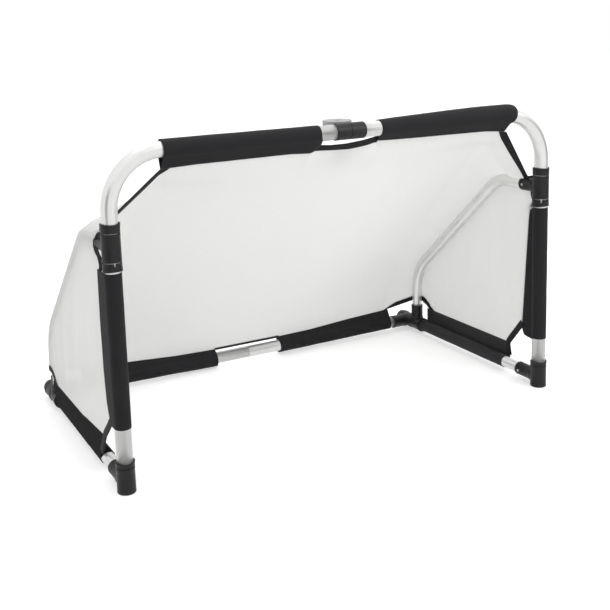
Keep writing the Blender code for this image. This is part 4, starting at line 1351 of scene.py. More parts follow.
@dataclass
class FrontBow:
    """One post with its half of the crossbar and its three collars."""

    side: Side
    wall: float = 0.0018

    def build(self, finishes: Finishes) -> List[bpy.types.Object]:
        """Makes the bow's pieces.

        Args:
            finishes: the goal's materials.

        Returns:
            The pieces, which ride on the front body of this side.
        """
        post = self.side.sign * M.post_x
        corners = [
            M.spot(post, 0.0, 0.0064),
            M.spot(post, 0.0, M.bar_height),
            M.spot(self.side.sign * 0.0239, 0.0, M.bar_height),
        ]
        path = rounded(corners, [M.corner_radius], 24)
        tube = RoundTube(
            self.side.named("bow_tube"), path, M.front_radius, Vector((0, 1, 0)), self.wall
        )
        pieces = [tube.build(finishes)]
        notch = 0.0 if self.side is Side.LEFT else -0.64
        for stem, bottom, height, wave, waves_up, cut in (
            ("foot_collar", M.foot_height + 0.0006, 0.0168, 0.0042, True, None),
            ("post_collar_lower", M.tee_bottom - 0.0287, 0.0259, 0.0026, False, notch),
            ("post_collar_upper", M.tee_top + 0.0022, 0.0270, 0.0024, True, None),
        ):
            collar = Collar(self.side.named(stem), self.side, bottom, height, wave, waves_up, cut)
            pieces.append(collar.build(finishes))
        for piece in pieces:
            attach(piece, self.side.named("front"))
        return pieces


@dataclass
class SideFrame:
    """The swivelling side frame: two tees on the post, two tubes, the rear corner and its end
    cap."""

    side: Side
    wall: float = 0.0015
    rivet_inset: float = 0.018
    cap_radius: float = 0.0265
    cap_length: float = 0.0237
    cap_rounding: float = 0.006

    def bent_path(self) -> List[Vector]:
        """The centre line of the bent tube, from the upper tee down into the rear corner."""
        post = self.side.sign * M.post_x
        corners = [
            M.spot(post, 0.0280, M.upper_height),
            M.spot(post, M.shoulder_depth, M.upper_height),
            M.spot(post, M.leg_depth, M.heel_height),
            M.spot(post, M.leg_depth, 0.0600),
        ]
        return rounded(corners, [M.shoulder_radius, M.heel_radius], 20)

    def tees(self) -> List[MouldedTee]:
        """The three tees of the side frame."""
        post = self.side.sign * M.post_x
        upper = MouldedTee(
            self.side.named("upper_tee"),
            M.spot(post, 0.0, M.tee_bottom),
            UPRIGHT,
            M.tee_top - M.tee_bottom,
            0.0277,
            0.0280,
            M.spot(post, 0.0, M.upper_height),
            BACKWARD,
            M.upper_reach,
            M.front_bore,
        )
        foot = MouldedTee(
            self.side.named("foot_tee"),
            M.spot(post, 0.0, 0.0),
            UPRIGHT,
            M.foot_height,
            0.0276,
            0.0280,
            M.spot(post, 0.0, M.floor_height),
            BACKWARD,
            M.foot_reach,
            M.front_bore,
            floor=0.006,
        )
        corner = MouldedTee(
            self.side.named("rear_corner_tee"),
            M.spot(post, M.corner_start, M.floor_height),
            BACKWARD,
            M.corner_end - M.corner_start,
            0.0275,
            0.0292,
            M.spot(post, M.leg_depth, M.floor_height),
            UPRIGHT,
            0.079,
            M.side_bore,
        )
        return [upper, foot, corner]

    def end_cap(self, finishes: Finishes) -> bpy.types.Object:
        """Makes the rounded plug on the rear end of the floor tube."""
        name = self.side.named("rear_end_cap")
        centre = self.cap_radius - self.cap_rounding
        dome = [
            (
                centre + self.cap_rounding * sin(angle),
                self.cap_length - self.cap_rounding * (1 - cos(angle))
            )
            for angle in [pi / 2 * k / 8 for k in range(9)]
        ]
        profile = [
            (0.0, self.cap_length), *dome, (self.cap_radius, 0.001),
            (self.cap_radius - 0.001, 0.0), (0.0, 0.0)
        ]
        placed = Matrix.Translation(
            M.spot(self.side.sign * M.post_x, M.swivel_end + 0.0004, M.floor_height)
        )
        blank = Blank(name + "_dome").spun(profile, 64).moved(placed @ BACKWARD)
        return blank.piece(finishes.plastic, Slot.PLASTIC, [name])

    def build(self, finishes: Finishes) -> List[bpy.types.Object]:
        """Makes the side frame's pieces.

        Args:
            finishes: the goal's materials.

        Returns:
            The pieces, which ride on the side body.
        """
        post = self.side.sign * M.post_x
        across = Vector((1, 0, 0))
        straight = [
            M.spot(post, 0.0280, M.floor_height), M.spot(post, M.swivel_end, M.floor_height)
        ]
        pieces = [
            RoundTube(
                self.side.named("side_tube_upper"), self.bent_path(), M.side_radius, across,
                self.wall
            ).build(
                finishes
            ),
            RoundTube(
                self.side.named("side_tube_lower"), straight, M.side_radius, across, self.wall
            ).build(finishes),
            self.end_cap(finishes),
        ]
        pieces += [tee.build(finishes) for tee in self.tees()]
        for stem, reach, height in (
            ("upper_tee_rivet", M.upper_reach, M.upper_height),
            ("foot_tee_rivet", M.foot_reach, M.floor_height),
        ):
            pieces.append(
                Rivet(
                    self.side.named(stem), self.side, reach - self.rivet_inset, height
                ).build(finishes)
            )
        for piece in pieces:
            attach(piece, self.side.named("side"))
        return pieces


@dataclass
class RearBar:
    """One half of the rear bar with the tee that turns on the floor tube."""

    side: Side
    wall: float = 0.0015
    seam_gap: float = 0.0005

    def build(self, finishes: Finishes) -> List[bpy.types.Object]:
        """Makes the half bar's pieces.

        Args:
            finishes: the goal's materials.

        Returns:
            The pieces, which ride on the rear body of this side.
        """
        sign = self.side.sign
        ends = [M.post_x - 0.0240, self.seam_gap / 2]
        path = [M.spot(sign * x, M.rear_depth, M.floor_height) for x in ends]
        tube = RoundTube(
            self.side.named("rear_tube"), path, M.rear_radius, Vector((0, 1, 0)), self.wall
        )
        tee = MouldedTee(
            self.side.named("rear_bar_tee"),
            M.spot(sign * M.post_x, M.swivel_start, M.floor_height),
            BACKWARD,
            M.swivel_end - M.swivel_start,
            0.0275,
            0.0292,
            M.spot(sign * M.post_x, M.rear_depth, M.floor_height),
            sideways(-sign),
            0.087,
            M.side_bore,
            socket=M.rear_radius + 0.0005,
            branch_radius=0.0254,
            branch_rim=0.0259,
        )
        pieces = [tube.build(finishes), tee.build(finishes)]
        for piece in pieces:
            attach(piece, self.side.named("rear"))
        return pieces


@dataclass
class MiddleHinge:
    """The folding hinge in the middle of the crossbar."""

    sleeve_radius: float = 0.026
    sleeve_reach: float = 0.052
    seam: float = 0.0004
    knuckle_radius: float = 0.045
    bottom: float = 0.962
    split: float = 0.9838
    top: float = 1.0015
    arm_inner: float = 0.001
    arm_outer: float = 0.043
    scoop_gap: float = 0.0013
    cover_radius: float = 0.046
    cover_top: float = 1.0140
    button_radius: float = 0.0112
    edge: float = 0.0009
    arm_edge: float = 0.0015
    bore_end: float = 0.0235
    play: float = 0.0004
    sides: int = 96

    def housing(self, side: Side, finishes: Finishes) -> bpy.types.Object:
        """Makes one black half of the hinge.

        Args:
            side: which half; the right one has the upper knuckle.
            finishes: the goal's materials.

        Returns:
            The housing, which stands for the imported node.
        """
        name = side.named("hinge_housing")
        low, high = (self.bottom, self.split - self.play) if side is Side.LEFT else (
            self.split, self.top
        )
        edge = self.edge
        tube = [
            (0.0, self.sleeve_reach),
            (self.sleeve_radius - edge, self.sleeve_reach),
            (self.sleeve_radius, self.sleeve_reach - edge),
            (self.sleeve_radius, self.seam + edge * 0.6),
            (self.sleeve_radius - edge * 0.6, self.seam),
            (0.0, self.seam),
        ]
        axis = M.spot(0.0, 0.0, M.bar_height)
        centre = M.spot(0.0, M.pivot_depth, 0.0)
        body = Blank(name + "_moulding").spun(tube, self.sides).moved(
            Matrix.Translation(axis) @ sideways(side.sign)
        )
        arm = Blank(name + "_arm")
        size = Matrix.Diagonal((self.arm_outer - self.arm_inner, M.pivot_depth, high - low, 1.0))
        middle = M.spot(
            side.sign * (self.arm_inner + self.arm_outer) / 2, M.pivot_depth / 2, (low + high) / 2
        )
        bmesh.ops.create_cube(arm.bm, size=1.0, matrix=Matrix.Translation(middle) @ size)
        arm.softened(self.arm_edge, 3)
        radius = self.knuckle_radius
        drum = [
            (0.0, high), (radius - edge, high), (radius, high - edge), (radius, low + edge),
            (radius - edge, low)
        ]
        drum.append((0.0, low))
        knuckle = Blank(name + "_knuckle").spun(drum, self.sides).moved(Matrix.Translation(centre))
        over = M.bar_height + 0.06
        ends = (self.split - self.play, over) if side is Side.LEFT else (
            self.bottom - 0.001, self.split
        )
        reach = radius + self.scoop_gap
        hollow = [(0.0, ends[1]), (reach, ends[1]), (reach, ends[0]), (0.0, ends[0])]
        scoop = Blank(name + "_scoop").spun(hollow, self.sides).moved(Matrix.Translation(centre))
        hole = [
            (0.0, 0.2), (M.front_bore, 0.2), (M.front_bore, self.bore_end), (0.0, self.bore_end)
        ]
        bore = Blank(name + "_bore").spun(hole, self.sides).moved(
            Matrix.Translation(axis) @ sideways(side.sign)
        )
        body.carved(
            [("UNION", arm), ("UNION", knuckle), ("DIFFERENCE", scoop), ("DIFFERENCE", bore)]
        )
        return body.piece(finishes.plastic, Slot.PLASTIC, [name], angle=32.0)

    def cover(self, finishes: Finishes) -> bpy.types.Object:
        """Makes the pale disc with its rounded rim and the countersunk hole for the button."""
        outer, top = self.cover_radius, self.cover_top
        hole = self.button_radius + 0.0005
        edge = 0.0016
        rim = [
            (outer - edge + edge * cos(a), top - edge + edge * sin(a)) for a in [
                pi / 2 * k / 6 for k in range(7)
            ]
        ]
        profile = [
            (hole, top - 0.0022),
            (hole, top - 0.0012),
            (hole + 0.0010, top - 0.0003),
            (hole + 0.0030, top - 0.0001),
            (outer * 0.62, top - 0.0001),
            (outer * 0.66, top - 0.0004),
            (outer * 0.70, top),
            *reversed(rim),
            (outer, top - 0.0046),
            (outer - 0.0006, top - 0.0050),
            (outer - 0.0006, top - 0.0056),
            (outer, top - 0.0060),
            (outer, self.top + 0.0006),
            (outer - 0.0025, self.top + 0.0004),
            (outer - 0.0025, top - 0.0022),
        ]
        blank = Blank("hinge_cover_disc").spun(profile, 128, ring=True)
        blank.moved(Matrix.Translation(M.spot(0.0, M.pivot_depth, 0.0)))
        return blank.piece(finishes.disc, Slot.DISC, ["hinge_cover"], angle=50.0)

    def button(self, finishes: Finishes) -> bpy.types.Object:
        """Makes the dished push button with a finger groove round it."""
        radius, top = self.button_radius, self.cover_top - 0.0048
        dish = [(radius * 0.80 * k / 8, top - 0.0014 + 0.0010 * (k / 8) ** 2) for k in range(9)]
        profile = [
            *dish,
            # slot: the record's slot that the material belongs to; not used.
            (radius * 0.86, top - 0.0001),
            (radius - 0.0006, top),
            (radius, top - 0.0006),
            (radius, top - 0.0014),
            (0.0140, top - 0.0014),
            (0.0140, top - 0.0051),
            (0.0, top - 0.0051),
        ]
        blank = Blank("lock_button_cap").spun(profile, 64)
        blank.moved(Matrix.Translation(M.spot(0.0, M.pivot_depth, 0.0)))
        return blank.piece(finishes.plastic, Slot.PLASTIC, ["lock_button"])

    def build(self, finishes: Finishes) -> List[bpy.types.Object]:
        """Makes the hinge's visible pieces.

        Args:
            finishes: the goal's materials.

        Returns:
            The pieces, each of which rides on the body of the node that it stands for.
        """
        pieces = []
        for side in Side:
            half = self.housing(side, finishes)
            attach(half, side.named("front"))
            pieces.append(half)
        cover = self.cover(finishes)
        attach(cover, "front_right")
        button = self.button(finishes)
        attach(button, "lock_button")
        return [*pieces, cover, button]


@dataclass
class WrapSleeve:
    """A strip of woven cloth wrapped round a tube, with its two edges sewn together as a flap."""

    name: str
    frames: List[Matrix]
    swell: Callable[[int], float]
    rise: Callable[[int], float]
    shift: float
    gap: float
    tangent: bool
    seed: float
    slant: Optional[Callable[[Vector], Vector]] = None
    slack: float = 0.0006
    cloth: float = 0.0012
    steps: int = 40
    flap_steps: int = 8

    def outline(self, index: int) -> Profile:
        """The open outline of the strip at a station, from one edge round the tube to the other.

        Args:
            index: the number of the station.

        Returns:
            Its points, always as many.
        """
        rise, radius = self.rise(index), self.swell(index)
        if self.tangent:
            right, left = (radius, rise), (radius - self.gap, rise)
        else:
            right, left = (self.shift + self.gap / 2, rise), (self.shift - self.gap / 2, rise)
        start = atan2(left[1], left[0]) + acos(min(1.0, radius / hypot(*left)))
        if self.tangent:
            start = acos(min(1.0, (radius - self.gap) / radius))
        end = atan2(right[1], right[0]) - acos(min(1.0, radius / hypot(*right))) + 2 * pi
        ring = arc(radius, start, end, self.steps)
        flap = self.flap_steps
        first = [
            (
                mix(left[0], ring[0][0], k / flap), mix(left[1], ring[0][1], k / flap)
            ) for k in range(flap)
        ]
        last = [
            (
                mix(ring[-1][0], right[0], k / flap), mix(ring[-1][1], right[1], k / flap)
            ) for k in range(1, flap + 1)
        ]
        return [*first, *ring, *last]

    def creased(self, place: Vector) -> Vector:
        """Adds soft waves to the cloth.

        Args:
            place: a point of the plain wrap.

        Returns:
            Its place with the cloth's small slack.
        """
        spot = place * 14.0 + Vector((self.seed, self.seed * 0.7, self.seed * 1.3))
        fine = place * 46.0 + Vector((self.seed, 0.0, 0.0))
        push = noise.noise(spot) * self.slack + noise.noise(fine) * self.slack * 0.35
        return place + self.normal(place) * push

    def normal(self, place: Vector) -> Vector:
        """The direction away from the tube's axis at a point."""
        origin = self.frames[0].translation
        axis = (self.frames[-1].translation - origin).normalized()
        away = place - origin - axis * (place - origin).dot(axis)
        return away.normalized()

    def build(
        self, flat: Tuple[float, float], finish: bpy.types.Material, rests_on: str
    ) -> bpy.types.Object:
        """Makes the sleeve.

        Args:
            flat: the width and length of the cut strip; not used.
            finish: its material.
            rests_on: the node that it is wrapped round; not used.

        Returns:
            The sleeve.
        """
        blank = Blank(self.name + "_cloth").lofted(self.frames, self.outline, closed=False)
        if self.slant:
            blank.shaped(self.slant)
        blank.shaped(self.creased)
        sleeve = blank.piece(finish, Slot.FABRIC, [self.name], self.cloth, angle=70.0)
        return sleeve


@dataclass
class Sleeves:
    """The four black sleeves of one side."""

    side: Side
    step: float = 0.011
    hung_gap: float = 0.0020
    laid_gap: float = 0.0016
    post_swell: float = 0.0249
    floor_swell: float = 0.0222

    def cloth(self, stem: str, stitches: Tuple[float, ...]) -> bpy.types.Material:
        """The woven cloth of one sleeve, with its lines of stitches; the side sleeves' colour
        carries painted shade on the left and painted light on the right.
        """
        finish = WovenPolyester(self.side.named(stem) + "_cloth", stitches=stitches)
        # The two side sleeves are lit and shaded copies of one cloth. The left one's colour is
        # darkened as painted shade and the right one's lightened as painted light, standing in for
        # how the lamps fall on each. Their sheen and specular are scaled with it.
        if stem == "side_sleeve":
            share = 0.35 if self.side is Side.LEFT else 1.5
            red, green, blue = finish.colour
            finish = replace(
                finish, colour=(red * share, green * share, blue * share), shine=0.22 * share
            )
        return finish.material()

    def crossbar(self) -> bpy.types.Object:
        """Makes the sleeve on the crossbar, its flap hanging just behind the tube."""
        drape, sign = DRAPES[self.side], self.side.sign
        length = drape.bar_end - M.crossbar_sleeve_start
        count = round(length / self.step * 2)
        places = [M.crossbar_sleeve_start + length * k / count for k in range(count + 1)]
        bend = M.post_x - M.corner_radius
        path = []
        for x in places:
            drop = M.corner_radius - (M.corner_radius**2 - max(0.0, x - bend) ** 2) ** 0.5
            path.append(M.spot(sign * x, 0.0, M.bar_height - drop + lookup(drape.bar_lift, x)))
        frames = stations(path, [Vector((0, 0, -1))])

        def slant(place: Vector) -> Vector:
            """Lets the flap reach a little further towards the hinge than the sleeve."""
            start = M.crossbar_sleeve_start
            share = ease(M.bar_height - place.z, 0.0, 0.035) * (
                1.0 - ease(abs(place.x), start, start + 0.06)
            )
            return place - Vector((sign * drape.bar_lean * share, 0, 0))

        wrap = WrapSleeve(
            self.side.named("crossbar_sleeve"),
            frames,
            lambda index: lookup(drape.bar_swell, places[index]),
            lambda index: path[index].z - lookup(drape.bar_flap, places[index]),
            shift=self.back_shift(frames, M.crossbar_flap_shift),
            gap=self.hung_gap,
            tangent=False,
            seed=3.1,
            slant=slant,
        )
        finish = self.cloth("crossbar_sleeve", (0.004, 0.030, 0.167, 0.193))
        return wrap.build((0.205, length), finish, self.side.named("bow_tube"))

    def back_shift(self, frames: Sequence[Matrix], reach: float) -> float:
        """The local X of a flap that lies behind the tube by reach."""
        back = frames[0].inverted().to_3x3() @ Vector((0, 1, 0))
        return reach if back.x > 0 else -reach

    def post(self) -> bpy.types.Object:
        """Makes the sleeve on the post, its flap running back along the outside of the net."""
        drape, sign = DRAPES[self.side], self.side.sign
        low, high = drape.post_flap[0][0], M.post_sleeve_top
        start, end = (low, high) if self.side is Side.RIGHT else (high, low)
        ends = [M.spot(sign * M.post_x, 0.0, z) for z in (start, end)]
        frames = stations(spread(ends, self.step), [Vector((0, 1, 0))])
        heights = [frame.translation.z for frame in frames]

        def slant(place: Vector) -> Vector:
            """Lets the flap hang lower than the sleeve's front near its lower end."""
            reach = max(0.0, place.y - M.post_y)
            return place - Vector(
                (0, 0, drape.post_slant * reach * (1.0 - ease(place.z, low + 0.02, low + 0.14)))
            )

        wrap = WrapSleeve(
            self.side.named("post_sleeve"),
            frames,
            lambda index: self.post_swell,
            lambda index: lookup(drape.post_flap, heights[index]),
            shift=0.0,
            gap=self.laid_gap,
            tangent=True,
            seed=7.9,
            slant=slant,
        )
        finish = self.cloth("post_sleeve", (0.004, 0.046, 0.205, 0.247))
        return wrap.build((0.305, high - low), finish, self.side.named("bow_tube"))

    def floor(self) -> bpy.types.Object:
        """Makes the sleeve on the floor tube, its flap standing up outside the net."""
        drape, sign = DRAPES[self.side], self.side.sign
        depths = (M.side_sleeve_start, M.side_sleeve_end)
        start, end = depths if self.side is Side.LEFT else depths[::-1]
        ends = [M.spot(sign * M.post_x, depth, M.floor_height) for depth in (start, end)]
        frames = stations(spread(ends, self.step), [Vector((0, 0, 1))])
        reaches = [frame.translation.y - M.post_y for frame in frames]

        def slant(place: Vector) -> Vector:
            """Pulls the flap's front corner towards the post."""
            depth = place.y - M.post_y
            rise = max(0.0, place.z - M.floor_height)
            share = 1.0 - ease(depth, M.side_sleeve_start + 0.01, M.side_sleeve_start + 0.13)
            return place - Vector((0, drape.floor_slant * rise * share, 0))

        wrap = WrapSleeve(
            self.side.named("side_sleeve"),
            frames,
            lambda index: self.floor_swell,
            lambda index: lookup(drape.floor_flap, reaches[index]),
            shift=0.0,
            gap=self.laid_gap,
            tangent=True,
            seed=12.3,
            slant=slant,
        )
        finish = self.cloth("side_sleeve", (0.004, 0.048, 0.155, 0.199))
        return wrap.build(
            (0.230, depths[1] - depths[0]), finish, self.side.named("side_tube_lower")
        )

    def rear(self) -> bpy.types.Object:
        """Makes the sleeve on the rear bar, which sags a little, its flap standing up to the back
        net."""
        drape, sign = DRAPES[self.side], self.side.sign
        length = M.rear_sleeve_end - M.rear_sleeve_start
        count = round(length / self.step)
        places = [M.rear_sleeve_start + length * k / count for k in range(count + 1)]
        path = [
            M.spot(
                sign * x, M.rear_depth, M.floor_height - lookup(drape.rear_drop, x)
            ) for x in places
        ]
        frames = stations(path, [Vector((0, 0, 1))])
        wrap = WrapSleeve(
            self.side.named("rear_sleeve"),
            frames,
            lambda index: lookup(drape.rear_swell, places[index]),
            lambda index: lookup(drape.rear_flap, places[index]) - path[index].z,
            shift=self.back_shift(frames, M.rear_flap_shift),
            gap=self.hung_gap,
            tangent=False,
            seed=21.7,
        )
        finish = self.cloth("rear_sleeve", (0.004, 0.022, 0.160, 0.178))
        return wrap.build((0.182, length), finish, self.side.named("rear_tube"))

    def build(self) -> List[bpy.types.Object]:
        """Makes the four sleeves.

        Returns:
            The sleeves, each riding on the body of its tube or frame.
        """
        pieces = []
        for sleeve, body in (
            (self.crossbar(), "front"),
            (self.post(), "side"),
            (self.floor(), "side"),
            (self.rear(), "rear"),
        ):
            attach(sleeve, self.side.named(body))
            pieces.append(sleeve)
        return pieces


FOLDED = {
    "joint": "crossbar_fold", "axis": (0, 1, 0), "anchor": M.spot(0.0, 0.03, 0.5), "keep": 0.06
}


@dataclass
class NetPanels:
    """The white side panel and the half of the back panel on one side."""

    side: Side
    fold: float = 0.0045
    fold_length: float = 0.150
    edge: float = M.net_x + M.net_thickness / 2
    flat: float = 0.767
    foot_rim: float = 0.655
    sewn: float = 0.0009
    hinge_end: float = 0.118
    gap_end: float = 0.1400
    gap_height: float = 0.0668
    middle_head: float = 0.9365
    middle_foot: float = 0.0705
    bulge: float = 0.0042
    side_grid: Tuple[int, int] = (150, 72)
    back_grid: Tuple[int, int] = (190, 130)

    def __post_init__(self) -> None:
        """Lays out the lines between which the cloth hangs."""
        self.drape = DRAPES[self.side]
        self.roof = Line(self.roof_line())
        self.foot = Line([Vector(point) for point in self.drape.net_foot])
        self.head_rim = min(self.drape.bar_end, 0.6275)

    def roof_line(self) -> List[Vector]:
        """Where the side and back panels meet, as points (depth, height) just outside the bent
        tube."""
        offset = M.roof_offset
        slope = atan2(M.upper_height - M.heel_height, M.leg_depth - M.shoulder_depth)
        corners = [
            Vector(self.drape.corner),
            Vector((0.112, M.upper_height + offset)),
            Vector((M.shoulder_depth + offset * tan(slope / 2), M.upper_height + offset)),
            Vector((M.leg_depth + offset, M.heel_height + offset * tan((pi / 2 - slope) / 2))),
            Vector((M.leg_depth + offset, M.net_leg_end)),
        ]
        return spread(
            rounded(corners, [0.08, M.shoulder_radius + offset, M.heel_radius + offset], 16), 0.01
        )

    def lifted(self, depth: float, height: float) -> float:
        """How far the cloth stands out where it passes over the upper tee's branch."""
        level = 1.0 - ease(abs(height - M.upper_height), 0.024, 0.042)
        return self.bulge * level * (
            1.0 - ease(depth, M.upper_reach + 0.004, M.upper_reach + 0.022)
        )

    def side_point(self, across: float, down: float) -> Vector:
        """The place of a crossing of the side net.

        Args:
            across: share of the way back from the post.
            down: share of the way down from the bent tube.

        Returns:
            Its place.
        """
        ahead, behind = self.roof.at(across + 0.004), self.roof.at(across - 0.004)
        slope = (ahead - behind).normalized()
        upper = self.roof.at(across) + Vector((slope.y, -slope.x)) * self.sewn
        place = mix(upper, self.foot.at(across), down)
        straight = mix(self.roof.path[0], self.foot.path[0], down)
        pulled = lookup(self.drape.net_front, straight.y) - straight.x
        place = place + Vector((pulled * (1.0 - ease(across, 0.0, 0.12)), 0.0))
        seed = 5.0 if self.side is Side.LEFT else 11.0
        drift = noise.noise(Vector((place.x * 3.0, place.y * 2.0, seed))) * 0.05
        waves = (
            1.0 + cos(2 * pi * (place.x + drift + (place.y - 0.4) * 0.10) / self.fold_length)
        ) / 2
        small = noise.noise(Vector((place.x * 22.0, place.y * 5.0, seed + 3.0)))
        calm = min(1.0, (upper - self.foot.at(across)).length / 0.30)
        push = sin(pi * across) * sin(pi * down) * (
            self.fold * 1.3 * waves + 0.0014 * small
        ) * calm
        push += self.lifted(place.x, place.y)
        push -= self.drape.curl * ease(place.y, 0.640, 0.680) * (1.0 - ease(across, 0.0, 0.03))
        return M.spot(self.side.sign * (M.net_x + push), place.x, place.y)

    def head(self, x: float) -> Tuple[Vector, Vector]:
        """The upper edge at a place across, and the calmer line that the whole panel follows
        there."""
        sewn = lookup(self.drape.bar_flap, min(max(x, 0.2), self.head_rim)) - self.sewn
        calm = Vector((M.crossbar_flap_shift, mix(self.middle_head, sewn, ease(x, 0.0, 0.25))))
        if x < self.hinge_end:
            height = lookup(self.drape.hinge_line, x)
        else:
            height = lookup(self.drape.bar_flap, min(x, self.head_rim)) - self.sewn
            hinge = lookup(self.drape.hinge_line, x)
            height = mix(hinge, height, ease(x, self.hinge_end, self.hinge_end + 0.012))
        share = min(max((x - self.head_rim) / (self.drape.band_end - self.head_rim), 0.0), 1.0)
        corner = self.roof.path[0]
        return mix(Vector((M.crossbar_flap_shift, height)), corner, share), mix(
            calm, corner, share
        )

    def base(self, x: float) -> Tuple[Vector, Vector]:
        """The lower edge at a place across, and the calmer line that the whole panel follows
        there."""
        sewn = lookup(self.drape.rear_flap, x) + self.sewn
        depth = M.rear_depth + M.rear_flap_shift
        calm = Vector((depth, mix(self.middle_foot, sewn, ease(x, 0.0, 0.3))))
        height = self.gap_height if x < self.gap_end else sewn
        share = min(max((x - self.foot_rim) / (self.flat - self.foot_rim), 0.0), 1.0)
        corner = self.roof.path[-1]
        return mix(Vector((depth, height)), corner, share), mix(calm, corner, share)

    def back_point(self, across: float, down: float) -> Vector:
        """The place of a crossing of the back net.

        Args:
            across: share of the way out from the middle.
            down: share of the way down from the crossbar.

        Returns:
            Its place.
        """
        x, sign = self.edge * across, self.side.sign
        upper, calm_upper = self.head(x)
        lower, calm_lower = self.base(x)
        place = mix(calm_upper, calm_lower, down)
        place = place + (upper - calm_upper) * (1.0 - ease(down, 0.0, 0.05))
        place = place + (lower - calm_lower) * ease(down, 0.93, 1.0)
        straight = mix(self.roof.path[0], self.roof.path[-1], down)
        hung = mix(ease(down, 0.0, 0.12), 1.0, ease(x, 0.755, self.edge))
        place = place + (self.roof.at(down) - straight) * (min(x / self.flat, 1.0) ** 2 * hung)
        swell = sin(pi * down) * (1.0 - ease(x, 0.70, 0.75))
        soft = noise.noise(Vector((sign * x * 2.6, down * 2.2, 1.7))) * 0.004
        push = swell * (soft + self.pull_lines(sign * x, down))
        x += self.lifted(place.x, place.y) * ease(x, 0.765, self.edge)
        return M.spot(sign * x, place.x + push * 0.72, place.y + push * 0.69)

    def pull_lines(self, x: float, down: float) -> float:
        """The height of the faint drag lines that run from the upper corners towards the middle.

        Args:
            x: place across, negative on the left.
            down: share of the way down the panel.

        Returns:
            The height in metres.
        """
        height = 0.0
        for start, end, drop, fall, width, size in (
            (-0.70, -0.10, 0.13, 0.02, 0.010, 0.0012),
            (-0.72, -0.06, 0.16, 0.055, 0.012, 0.0014),
            (-0.72, -0.02, 0.20, 0.10, 0.014, 0.0012),
            (0.02, 0.62, 0.05, 0.30, 0.014, 0.0010),
        ):
            share = (x - start) / (end - start)
            if 0.0 < share < 1.0:
                off = (down - mix(drop, fall, share)) / width
                height += size * sin(pi * share) * 2.718 ** (-off * off)
        return height

    def build(self, finishes: Finishes) -> List[bpy.types.Object]:
        """Makes both panels.

        Args:
            finishes: the goal's materials.

        Returns:
            The panels, on their bodies.
        """
        name = self.side.named("net_side")
        blank = Blank(name + "_panel").woven(*self.side_grid, self.side_point)
        beside = blank.piece(finishes.net, Slot.NET, [name], M.net_thickness, angle=80.0)
        tube = self.side.named("side_tube_upper")
        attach(beside, self.side.named("side"))
        name = self.side.named("net_back")
        blank = Blank(name + "_panel").woven(*self.back_grid, self.back_point)
        behind = blank.piece(finishes.net, Slot.NET, [name], M.net_thickness, angle=80.0)
        sleeve = self.side.named("crossbar_sleeve") + "_cloth"
        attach(behind, self.side.named("front"))
        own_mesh(behind)
        return [beside, behind]


@dataclass
class Binding:
    """A tape folded over the edge of a net and sewn through both of its legs."""

    name: str
    lines: List[List[Vector]]
    half: float = 0.0014
    title: str = ""
    cloth: float = 0.0007
    fold: float = 0.14
    columns: int = 14

    def point(self, across: float, down: float) -> Vector:
        """The place of a crossing of the tape.

        Args:
            across: share of the way round the fold, 0.5 at the fold itself.
            down: share of the way along the tape.

        Returns:
            Its place.
        """
        edge, last = self.lines[0], len(self.lines[0]) - 1
        index = round(down * last)
        root = edge[index]
        inward = (self.lines[-1][index] - root).normalized()
        ahead = edge[min(index + 1, last)] - edge[max(index - 1, 0)]
        normal = ahead.cross(inward).normalized()
        share = abs(across - 0.5) * 2
        facing = 1.0 if across > 0.5 else -1.0
        if share < self.fold:
            angle = share / self.fold * pi / 2
            return root - inward * (self.half * cos(angle)) + normal * (
                self.half * sin(angle) * facing
            )
        place = (share - self.fold) / (1.0 - self.fold) * (len(self.lines) - 1)
        row = min(int(place), len(self.lines) - 2)
        return mix(self.lines[row][index], self.lines[row + 1][index], place - row) + normal * (
            self.half * facing
        )

    def build(self, finishes: Finishes) -> bpy.types.Object:
        """Makes the tape.

        Args:
            finishes: the goal's materials.

        Returns:
            The tape.
        """
        blank = Blank((self.title or self.name) + "_tape").woven(
            self.columns, len(self.lines[0]) - 1, self.point
        )
        for vert in blank.bm.verts:
            column = vert[blank.order] % (self.columns + 1)
            if column > self.columns / 2:
                vert[blank.around] *= -1.0
        blank.lay_map(0.0)
        tape = blank.piece(finishes.tape, Slot.TAPE, [self.name], self.cloth, angle=60.0)
        pairs = list(zip(self.lines[0], self.lines[-1]))
        area = sum((b - a).cross(inner - a).length for (a, inner), (b, _) in zip(pairs, pairs[1:]))
        length = lengths_of(self.lines[0])[-1]
        wide = round(2 * area / length + pi * self.half, 4)
        return tape


